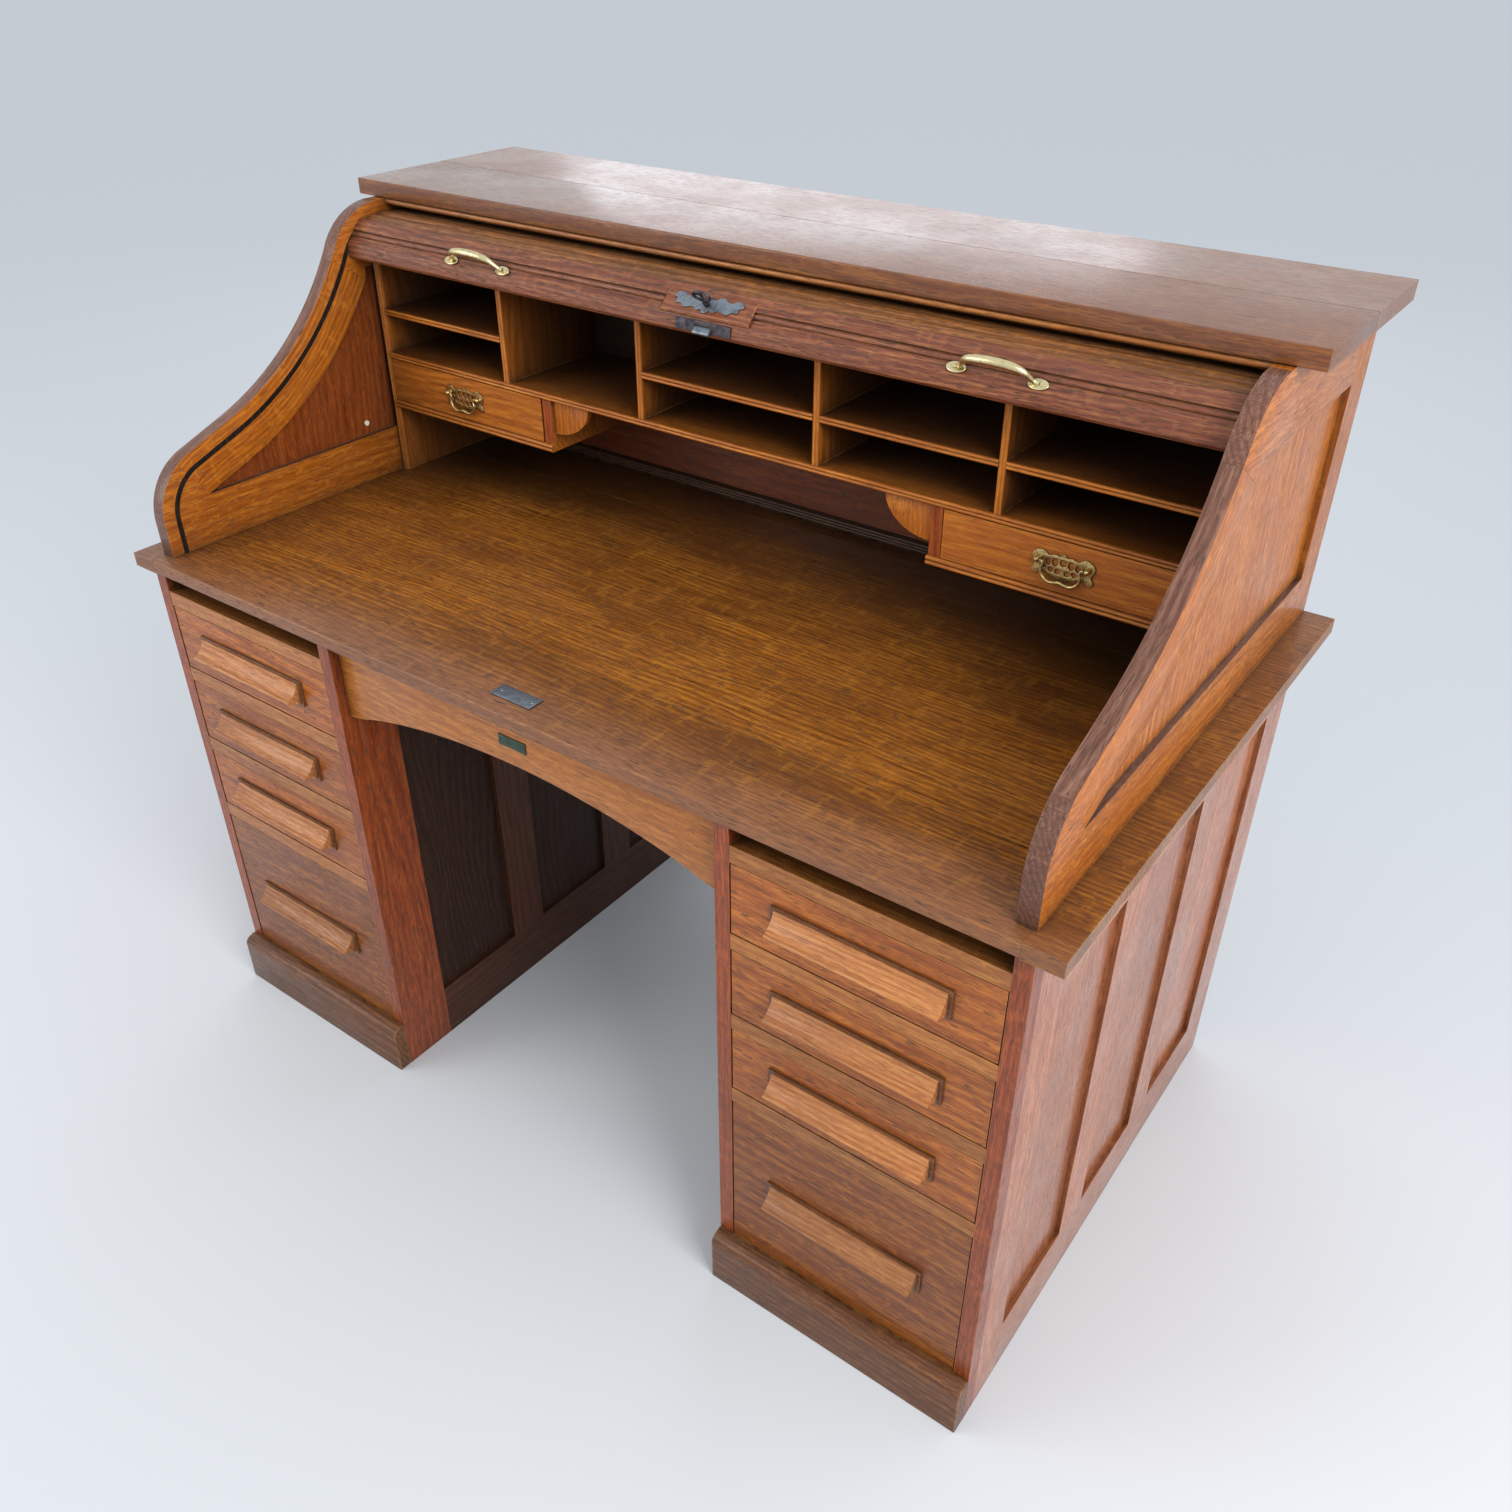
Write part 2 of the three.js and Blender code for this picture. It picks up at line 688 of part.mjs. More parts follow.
for (const { name, sign } of sides) {
  add(`outer_side_${name}`, sideBoard(sign, slotOuter + joint, pedestalOuterX, 1, 0), frameOak);
  add(`inner_side_${name}`, sideBoard(sign, pedestalInnerX, slotInner, -1, 0), frameOak);
  add(`face_frame_${name}`, faceFrame(sign), frameOak);
  add(`plinth_${name}`, plinth(sign), darkOak);
  const [b0, b1] = span(sign, slotInner + joint, slotOuter);
  const backPanel = cut(
    box(b0, b1, backPanelY, pedestalBackY, 0, pedestalTopZ),
    box(b0 + stile, b1 - stile, pedestalBackY - backSunk, pedestalBackY + overlap, sidePanelBottomZ, sidePanelTopZ),
  );
  add(`pedestal_back_${name}`, backPanel, darkOak);
  drawerLevels.forEach(({ top, bottom }, index) => {
    const [x0, x1] = span(sign, slotInner + drawerGap, slotOuter - drawerGap);
    const z0 = bottom + drawerGap;
    const z1 = top - drawerGap;
    const body = drawerBody(x0, x1, drawerFaceY, z0, z1, drawerLong, drawerFront, drawerSide, drawerBottom, 8);
    add(`drawer_${name}_${index + 1}`, body, drawerOak);
    add(`pull_${name}_${index + 1}`, pullBody(sign * pullMidX, (top + bottom) / 2), pullOak);
  });
}

// ---------- apron, plates ----------
const apronHalf = pedestalInnerX - joint;
const apronOutline = [
  [-apronHalf, apronEndZ],
  [-apronHalf + 18, apronEndZ],
];
for (let step = 1; step < 12; step += 1) {
  const across = -1 + step / 6;
  apronOutline.push([across * (apronHalf - 18), apronEndZ + (apronMidZ - apronEndZ) * Math.cos((across * Math.PI) / 2) ** 0.7]);
}
apronOutline.push([apronHalf - 18, apronEndZ], [apronHalf, apronEndZ], [apronHalf, pedestalTopZ], [-apronHalf, pedestalTopZ]);
add("apron", alongY(apronOutline, apronY, apronY + apronThick), frameOak);
add("badge_plate", box(-21.5, 21.5, apronY - joint - 1.2, apronY - joint, 699, 714), badgeGreen);
add("strike_plate", box(-31, 31, 25, 48, deskTopZ + joint, deskTopZ + joint + 1.6), iron);

// ---------- curtain ----------
// A piece drawn in the rail's or slat's own section: [along the groove, out of it].
function sectionAt(place, points, x0, x1) {
  const u = new THREE.Vector3(0, Math.cos(place.tilt), Math.sin(place.tilt));
  const v = new THREE.Vector3(0, -Math.sin(place.tilt), Math.cos(place.tilt));
  return prism(points, x1 - x0, new THREE.Vector3(x0, place.y, place.z), u, v);
}
// A piece drawn on the rail's face: [x, along the groove], standing from one level to another.
function faceAt(place, points, from, to) {
  const u = new THREE.Vector3(0, Math.cos(place.tilt), Math.sin(place.tilt));
  const v = new THREE.Vector3(0, -Math.sin(place.tilt), Math.cos(place.tilt));
  const origin = new THREE.Vector3(0, place.y, place.z).addScaledVector(v, from);
  return prism(points, to - from, origin, east, u);
}
function pointAt(place, x, along, out) {
  return new THREE.Vector3(
    x,
    place.y + along * Math.cos(place.tilt) - out * Math.sin(place.tilt),
    place.z + along * Math.sin(place.tilt) + out * Math.cos(place.tilt),
  );
}
const curtainHalf = gableInnerX - slatSideGap;
const railPlace = track(railAt);
const railOut = new THREE.Vector3(0, -Math.sin(railPlace.tilt), Math.cos(railPlace.tilt));
const railUp = new THREE.Vector3(0, Math.cos(railPlace.tilt), Math.sin(railPlace.tilt));
const railSection = [
  [-railHalf, -railBack],
  [railHalf, -railBack],
  [railHalf, railFace],
  [5, railFace],
  [2, railFace - 1.4],
  [-1, railLowFace],
  [-railHalf + railBevel - 0.5, railLowFace],
  [-railHalf, railLowFace - railBevel],
];
// Room in the rail for the block, the lock plate and the bolt.
const blockTop = railFace + blockProud;
const blockSection = [
  [-railHalf + railBevel, railLowFace],
  [-railHalf + railBevel + 2.5, railLowFace - 1.5],
  [-1, railLowFace - 1.5],
  [4, railFace - 3],
  [railHalf - 7.5, railFace - 1.5],
  [railHalf - 6, railFace],
  [railHalf - 8, blockTop],
  [-railHalf + railBevel + 2, blockTop],
  [-railHalf + railBevel, blockTop - 2],
];
const boltAlong = { from: -railHalf - 4, to: -3 };
const boltOut = { from: -9, to: -9 + boltThick };
// A place on the rail's bottom bevel: a distance up it from its lower corner, and out of it.
const bevelRise = Math.atan2(railBevel, railBevel - 0.5);
function onBevel(along, out) {
  return [
    -railHalf + along * Math.cos(bevelRise) - out * Math.sin(bevelRise),
    railLowFace - railBevel + along * Math.sin(bevelRise) + out * Math.cos(bevelRise),
  ];
}
const plateSection = [onBevel(1, joint), onBevel(14, joint), onBevel(14, 1.8), onBevel(1, 1.8)];
const boltRoom = sectionAt(
  railPlace,
  [
    [boltAlong.from - 2, boltOut.from - joint],
    [boltAlong.to + joint, boltOut.from - joint],
    [boltAlong.to + joint, boltOut.to + joint],
    [boltAlong.from - 2, boltOut.to + joint],
  ],
  -boltWide / 2 - joint,
  boltWide / 2 + joint,
);
const keyAlong = 1.5;
const keyRoom = drum(
  keyRod + keyClear,
  pointAt(railPlace, 0, keyAlong, -4),
  pointAt(railPlace, 0, keyAlong, 30),
  16,
);
add(
  "lock_rail",
  cut(
    join(
      sectionAt(railPlace, railSection, -curtainHalf, curtainHalf),
      sectionAt(railPlace, blockSection, -blockHalf, blockHalf),
    ),
    boltRoom,
    keyRoom,
  ),
  plumOak,
);
add("lock_plate", cut(sectionAt(railPlace, plateSection, -41, 41), boltRoom), iron);
const shieldHalf = [
  [0, 12.5],
  [8, 8.5],
  [19, 12.5],
  [32, 8],
  [44, 11.5],
  [51, 3.5],
  [42, -2],
  [32, -7],
  [18, -5.5],
  [8, -11.5],
];
const shieldOutline = [...shieldHalf, ...shieldHalf.slice(1).reverse().map(([x, t]) => [-x, t])]
  .reverse()
  .map(([x, t]) => [x, t + keyAlong]);
add(
  "escutcheon",
  cut(faceAt(railPlace, shieldOutline, blockTop + joint, blockTop + joint + 1.2), keyRoom),
  steel,
);
// Key: shank in the lock, oval bow standing out of it.
const keyBow = { wide: 14, high: 9, bar: 3.4, thick: 3.2 };
const bowCentre = 24;
const shankTop = bowCentre - keyBow.high + keyBow.bar / 2;
const keyShank = drum(keyRod, pointAt(railPlace, 0, keyAlong, -3), pointAt(railPlace, 0, keyAlong, shankTop), 12);
function bowOval(wide, high, thick) {
  const origin = pointAt(railPlace, 0, keyAlong - thick / 2, bowCentre);
  return prism(oval(0, 0, high, wide, 18), thick, origin, railOut, east);
}
const ringOuter = bowOval(keyBow.wide, keyBow.high, keyBow.thick);
const ringInner = bowOval(keyBow.wide - keyBow.bar, keyBow.high - keyBow.bar, keyBow.thick + 2);
add("key", join(keyShank, cut(ringOuter, ringInner)), iron);
add(
  "lock_bolt",
  sectionAt(
    railPlace,
    [
      [boltAlong.from, boltOut.from],
      [boltAlong.to - 8, boltOut.from],
      [boltAlong.to - 8, boltOut.to],
      [boltAlong.from, boltOut.to],
    ],
    -boltWide / 2,
    boltWide / 2,
  ),
  steel,
);
// Bow handles on the lower band of the rail.
for (const { name, sign } of sides) {
  const middle = sign * handleX;
  const along = -7.5;
  const seat = railLowFace + joint;
  const foot = (end) => faceAt(railPlace, oval(middle + end * (bowSpan / 2 + 1), along, 9.5, 5.8, 12), seat, seat + 2.4);
  const half = bowSpan / 2;
  const path = [
    [-half, 2.8],
    [-half + 3, 7],
    [-half + 10, 13],
    [-half + 22, bowRise - 2],
    [0, bowRise],
    [half - 22, bowRise - 2],
    [half - 10, 13],
    [half - 3, 7],
    [half, 2.8],
  ].map(([x, out]) => pointAt(railPlace, middle + x, along, seat + out));
  add(`handle_${name}`, join(rod(path, bowRod, railUp, 8), foot(-1), foot(1)), brass);
}

const slatSection = [
  [-slatBackHalf, -slatBack],
  [slatBackHalf, -slatBack],
  [slatHalf, 0.5],
  [slatHalf - 1.6, 4],
  [slatHalf - 5.5, slatCrown],
  [-slatHalf + 5.5, slatCrown],
  [-slatHalf + 1.6, 4],
  [-slatHalf, 0.5],
];
const firstSlat = railAt + railHalf + railToSlat - slatPitch / 2;
const canvas = 1; // thickness of the cloth that joins the slats of one run
function slatRun(first, last) {
  const parts = [];
  for (let i = first; i <= last; i += 1) {
    parts.push(sectionAt(track(firstSlat + i * slatPitch), slatSection, -curtainHalf, curtainHalf));
    if (i < last) {
      const between = track(firstSlat + (i + 0.5) * slatPitch);
      const cloth = [
        [-5, -slatBack - 0.2],
        [5, -slatBack - 0.2],
        [5, -slatBack + canvas],
        [-5, -slatBack + canvas],
      ];
      parts.push(sectionAt(between, cloth, -curtainHalf + 40, curtainHalf - 40));
    }
  }
  return join(...parts);
}
const runs = [
  ["slat_1", 1, 1],
  ["slat_2", 2, 2],
  ["slat_3", 3, 3],
  ["slat_4", 4, 4],
  ["slat_5", 5, 5],
  ["slat_run_a", 6, 8],
  ["slat_run_b", 9, 20],
  ["slat_run_c", 21, 24],
  ["slat_run_d", 25, slatCount],
];
for (const [name, first, last] of runs) {
  add(name, slatRun(first, last), slatOak);
}

// ---------- origin at the middle of the base ----------
const frontMostY = pedestalFrontY - pullReach;
desk.position.y = -(frontMostY + deskDepth) / 2;
desk.updateMatrixWorld(true);

export default desk;
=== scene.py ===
import math
import random
import bpy
import bmesh
from mathutils import Matrix, Vector


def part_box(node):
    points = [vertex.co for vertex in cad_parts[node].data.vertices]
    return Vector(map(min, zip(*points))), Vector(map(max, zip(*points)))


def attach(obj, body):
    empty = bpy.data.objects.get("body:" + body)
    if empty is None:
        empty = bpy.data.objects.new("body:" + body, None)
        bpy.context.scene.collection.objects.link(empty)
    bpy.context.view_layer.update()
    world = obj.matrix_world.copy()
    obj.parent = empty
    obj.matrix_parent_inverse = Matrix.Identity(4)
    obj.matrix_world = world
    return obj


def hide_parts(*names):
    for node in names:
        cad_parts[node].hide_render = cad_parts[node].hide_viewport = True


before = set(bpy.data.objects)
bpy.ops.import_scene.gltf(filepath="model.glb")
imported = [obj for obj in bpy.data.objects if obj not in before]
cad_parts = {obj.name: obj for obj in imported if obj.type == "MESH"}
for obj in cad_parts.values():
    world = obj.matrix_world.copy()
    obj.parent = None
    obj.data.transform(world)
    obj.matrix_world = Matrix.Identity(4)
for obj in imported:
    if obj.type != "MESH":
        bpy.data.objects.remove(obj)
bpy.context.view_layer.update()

frontOffset = 0.3855  # distance from the desktop's front edge back to the origin
print("frame loaded")


# shader groups
def makeGroup(name, inputs, outputs):
    tree = bpy.data.node_groups.new(name, "ShaderNodeTree")
    for label, kind, value in inputs:
        socket = tree.interface.new_socket(name=label, in_out="INPUT", socket_type=kind)
        if value is not None:
            socket.default_value = value
    for label, kind in outputs:
        tree.interface.new_socket(name=label, in_out="OUTPUT", socket_type=kind)
    return tree, tree.nodes.new("NodeGroupInput"), tree.nodes.new("NodeGroupOutput")


def node(tree, kind, **settings):
    made = tree.nodes.new(kind)
    for key, value in settings.items():
        if key in made.inputs:
            made.inputs[key].default_value = value
        else:
            setattr(made, key, value)
    return made


def plug(tree, source, target):
    tree.links.new(source, target)


def maths(tree, operation, first, second=None, clamp=False):
    made = tree.nodes.new("ShaderNodeMath")
    made.operation = operation
    made.use_clamp = clamp
    for index, value in enumerate((first, second)):
        if value is None:
            continue
        if isinstance(value, (int, float)):
            made.inputs[index].default_value = value
        else:
            plug(tree, value, made.inputs[index])
    return made.outputs[0]


def scaled(tree, vector, amounts):
    made = tree.nodes.new("ShaderNodeVectorMath")
    made.operation = "MULTIPLY"
    made.inputs[1].default_value = amounts
    plug(tree, vector, made.inputs[0])
    return made.outputs[0]


def noise(tree, vector, scale, detail=3.0, rough=0.55):
    made = tree.nodes.new("ShaderNodeTexNoise")
    made.inputs["Scale"].default_value = scale
    made.inputs["Detail"].default_value = detail
    made.inputs["Roughness"].default_value = rough
    plug(tree, vector, made.inputs["Vector"])
    return made.outputs[0]


def between(tree, value, low, high, outLow=0.0, outHigh=1.0):
    made = tree.nodes.new("ShaderNodeMapRange")
    made.interpolation_type = "SMOOTHSTEP"
    plug(tree, value, made.inputs["Value"])
    for label, number in (("From Min", low), ("From Max", high), ("To Min", outLow), ("To Max", outHigh)):
        made.inputs[label].default_value = number
    return made.outputs["Result"]


def blendColours(tree, factor, first, second):
    made = tree.nodes.new("ShaderNodeMix")
    made.data_type = "RGBA"
    for value, index in ((factor, 0), (first, 6), (second, 7)):
        if isinstance(value, (int, float, tuple)):
            made.inputs[index].default_value = value
        else:
            plug(tree, value, made.inputs[index])
    return made.outputs[2]


def makeOakGroup():
    tree, given, result = makeGroup(
        "oakGrain",
        [
            ("Place", "NodeSocketVector", None), ("Plank", "NodeSocketFloat", 0.5),
            ("Rings", "NodeSocketFloat", 800.0)
        ],
        [
            ("Figure", "NodeSocketFloat"), ("Pores", "NodeSocketFloat"), ("Flecks", "NodeSocketFloat"),
            ("Tone", "NodeSocketFloat"), ("Height", "NodeSocketFloat")
        ],
    )
    shift = tree.nodes.new("ShaderNodeVectorMath")
    shift.operation = "ADD"
    plug(tree, given.outputs["Place"], shift.inputs[0])
    plug(tree, given.outputs["Plank"], shift.inputs[1])
    place = shift.outputs[0]
    parts = tree.nodes.new("ShaderNodeSeparateXYZ")
    plug(tree, place, parts.inputs[0])
    drift = noise(tree, scaled(tree, place, (1.4, 6.0, 6.0)), 1.0, 3.0, 0.5)
    across = maths(tree, "ADD", parts.outputs[1], maths(tree, "MULTIPLY", parts.outputs[2], 0.55))
    bent = maths(tree, "ADD", across, maths(tree, "MULTIPLY", drift, 0.09))
    waves = maths(tree, "SINE", maths(tree, "MULTIPLY", bent, given.outputs["Rings"]))
    rings = between(tree, waves, -1.0, 1.0)
    streaks = noise(tree, scaled(tree, place, (11.0, 210.0, 210.0)), 1.0, 4.0, 0.65)
    fine = noise(tree, scaled(tree, place, (45.0, 620.0, 620.0)), 1.0, 2.0, 0.6)
    figure = maths(tree, "ADD", maths(tree, "MULTIPLY", rings, 0.13), maths(tree, "MULTIPLY", streaks, 0.55))
    figure = maths(tree, "ADD", figure, maths(tree, "MULTIPLY", fine, 0.36), clamp=True)
    poreNoise = noise(tree, scaled(tree, place, (60.0, 780.0, 780.0)), 1.0, 1.5, 0.5)
    pores = maths(
        tree, "MULTIPLY", between(tree, poreNoise, 0.54, 0.64), between(tree, waves, -0.8, 0.9, 0.4, 1.0)
    )
    fleckNoise = noise(tree, scaled(tree, place, (75.0, 30.0, 190.0)), 1.0, 2.0, 0.55)
    flecks = between(tree, fleckNoise, 0.56, 0.68)
    tone = noise(tree, scaled(tree, place, (3.2, 9.0, 9.0)), 1.0, 5.0, 0.62)
    height = maths(tree, "SUBTRACT", maths(tree, "MULTIPLY", fine, 0.5), pores)
    for value, label in (
        (figure, "Figure"), (pores, "Pores"), (flecks, "Flecks"), (tone, "Tone"), (height, "Height")
    ):
        plug(tree, value, result.inputs[label])
    return tree


def makeWearAndShadeGroup():
    tree, given, result = makeGroup(
        "edgeWearAndShade",
        [("Reach", "NodeSocketFloat", 0.004), ("Strength", "NodeSocketFloat", 1.0)],
        [("Edge", "NodeSocketFloat"), ("CreaseGrimeAndShade", "NodeSocketFloat"), ("Depth", "NodeSocketFloat"),
         ("Blotch", "NodeSocketFloat")],
    )
    spot = tree.nodes.new("ShaderNodeTexCoord").outputs["Object"]
    rounded = tree.nodes.new("ShaderNodeBevel")
    rounded.samples = 4
    plug(tree, given.outputs["Reach"], rounded.inputs["Radius"])
    shape = tree.nodes.new("ShaderNodeNewGeometry")
    dot = tree.nodes.new("ShaderNodeVectorMath")
    dot.operation = "DOT_PRODUCT"
    plug(tree, rounded.outputs[0], dot.inputs[0])
    plug(tree, shape.outputs["Normal"], dot.inputs[1])
    turned = between(tree, dot.outputs["Value"], 0.995, 0.8)
    broken = between(tree, noise(tree, spot, 70.0, 4.0, 0.65), 0.34, 0.6)
    edge = maths(
        tree, "MULTIPLY", maths(tree, "MULTIPLY", turned, broken), given.outputs["Strength"], clamp=True
    )
    blotch = noise(tree, spot, 9.0, 5.0, 0.6)
    # painted shade in creases and corners: the colour darkens where occlusion within 2 cm closes in; the
    # metals use the same mask for tarnish in crevices
    closed = tree.nodes.new("ShaderNodeAmbientOcclusion")
    closed.samples = 4
    closed.inputs["Distance"].default_value = 0.02
    creaseGrimeAndShade = between(tree, closed.outputs["AO"], 0.85, 0.35)
    # painted shade in deep places: pigeonholes, the kneehole and other interiors darken where occlusion
    # within 30 cm closes in
    deep = tree.nodes.new("ShaderNodeAmbientOcclusion")
    deep.samples = 6
    deep.inputs["Distance"].default_value = 0.3
    depth = between(tree, deep.outputs["AO"], 0.62, 0.12)
    for value, label in ((edge, "Edge"), (creaseGrimeAndShade, "CreaseGrimeAndShade"), (depth, "Depth"), (blotch, "Blotch")):
        plug(tree, value, result.inputs[label])
    return tree


oakGroup = makeOakGroup()
wearAndShadeGroup = makeWearAndShadeGroup()


def useGroup(tree, group, **values):
    made = tree.nodes.new("ShaderNodeGroup")
    made.node_tree = group
    for label, value in values.items():
        if isinstance(value, (int, float)):
            made.inputs[label].default_value = value
        else:
            plug(tree, value, made.inputs[label])
    return made


def colour(hexText):
    channels = [int(hexText[i:i + 2], 16) / 255 for i in (0, 2, 4)]
    linear = [c / 12.92 if c <= 0.04045 else ((c + 0.055) / 1.055) ** 2.4 for c in channels]
    return (*linear, 1.0)


def freshMaterial(name):
    made = bpy.data.materials.new(name)
    made.use_nodes = True
    tree = made.node_tree
    shader = tree.nodes["Principled BSDF"]
    return made, tree, shader


def attribute(tree, name):
    made = tree.nodes.new("ShaderNodeAttribute")
    made.attribute_name = name
    return made


def oak(
    name, dark, middle, light, worn, rough=0.38, coat=0.25, rings=800.0, fleck=0.25, pore=0.6, blotchy=0.4,
    tint="6a3a2a", wear=0.35, reach=0.0025, spread=0.14, shadow=0.75, front=None
):
    made, tree, shader = freshMaterial(name)
    plank = attribute(tree, "plank").outputs["Fac"]
    grain = useGroup(
        tree, oakGroup, Place=attribute(tree, "grainPlace").outputs["Vector"], Plank=plank, Rings=rings
    )
    wearAndShade = useGroup(tree, wearAndShadeGroup, Reach=reach, Strength=wear)
    ramp = tree.nodes.new("ShaderNodeValToRGB")
    ramp.color_ramp.elements[0].position = 0.32
    ramp.color_ramp.elements[0].color = colour(dark)
    ramp.color_ramp.elements[1].position = 0.72
    ramp.color_ramp.elements[1].color = colour(light)
    ramp.color_ramp.elements.new(0.52).color = colour(middle)
    plug(tree, grain.outputs["Figure"], ramp.inputs[0])
    tones = between(tree, grain.outputs["Tone"], 0.4, 0.68, 0.0, blotchy)
    paint = blendColours(tree, tones, ramp.outputs[0], colour(tint))
    bright = tree.nodes.new("ShaderNodeHueSaturation")
    plug(tree, between(tree, plank, 0.0, 1.0, 0.93 - spread, 0.93 + spread), bright.inputs["Value"])
    plug(tree, paint, bright.inputs["Color"])
    paint = blendColours(
        tree, maths(tree, "MULTIPLY", grain.outputs["Flecks"], fleck), bright.outputs[0], colour(light)
    )
    if front:  # the band nearest the front edge is mixed towards a greyer brown
        spot = tree.nodes.new("ShaderNodeSeparateXYZ")
        plug(tree, tree.nodes.new("ShaderNodeTexCoord").outputs["Object"], spot.inputs[0])
        ragged = maths(tree, "ADD", spot.outputs[1], maths(tree, "MULTIPLY", grain.outputs["Tone"], 0.22))
        frontBand = between(tree, ragged, -frontOffset + 0.21, -frontOffset + 0.09, 0.0, 0.6)
        paint = blendColours(tree, frontBand, paint, colour(front))
    paint = blendColours(
        tree, maths(tree, "MULTIPLY", grain.outputs["Pores"], pore), paint, (0.055, 0.026, 0.014, 1)
    )
    # painted shade: creases and corners mixed towards near black
    paint = blendColours(
        tree, maths(tree, "MULTIPLY", wearAndShade.outputs["CreaseGrimeAndShade"], 0.45), paint, (0.02, 0.011, 0.007, 1)
    )
    # painted shade: deep interiors mixed towards near black, scaled by the shadow strength
    paint = blendColours(
        tree, maths(tree, "MULTIPLY", wearAndShade.outputs["Depth"], shadow), paint, (0.014, 0.007, 0.004, 1)
    )
    paint = blendColours(tree, wearAndShade.outputs["Edge"], paint, colour(worn))
    plug(tree, paint, shader.inputs["Base Color"])
    gloss = maths(tree, "ADD", between(tree, wearAndShade.outputs["Blotch"], 0.3, 0.7, rough - 0.08, rough + 0.1),
                  maths(tree, "MULTIPLY", grain.outputs["Pores"], 0.15), clamp=True)
    plug(tree, gloss, shader.inputs["Roughness"])
    shader.inputs["Coat Weight"].default_value = coat
    shader.inputs["Coat Roughness"].default_value = 0.2
    shader.inputs["Specular IOR Level"].default_value = 0.3
    bump = node(tree, "ShaderNodeBump", Strength=0.5, Distance=0.0005)
    plug(tree, grain.outputs["Height"], bump.inputs["Height"])
    plug(tree, bump.outputs[0], shader.inputs["Normal"])
    return made


def metal(name, base, dull, rough=0.3, spread=0.18, tarnish=0.5, metallic=1.0, scale=120.0, hammered=0.25):
    made, tree, shader = freshMaterial(name)
    spot = tree.nodes.new("ShaderNodeTexCoord").outputs["Object"]
    patches = noise(tree, spot, scale, 5.0, 0.65)
    specks = noise(tree, spot, scale * 9, 3.0, 0.6)
    wearAndShade = useGroup(tree, wearAndShadeGroup, Reach=0.0012, Strength=0.7)
    mask = between(tree, patches, 0.42, 0.66, 0.0, tarnish)
    paint = blendColours(tree, mask, colour(base), colour(dull))
    paint = blendColours(tree, maths(tree, "MULTIPLY", wearAndShade.outputs["CreaseGrimeAndShade"], 0.6), paint, colour(dull))
    paint = blendColours(tree, maths(tree, "MULTIPLY", wearAndShade.outputs["Edge"], 0.5), paint, colour(base))
    plug(tree, paint, shader.inputs["Base Color"])
    plug(tree, between(tree, patches, 0.3, 0.7, rough, rough + spread), shader.inputs["Roughness"])
    shader.inputs["Metallic"].default_value = metallic
    bump = node(tree, "ShaderNodeBump", Strength=hammered, Distance=0.0003)
    plug(tree, specks, bump.inputs["Height"])
    plug(tree, bump.outputs[0], shader.inputs["Normal"])
    return made


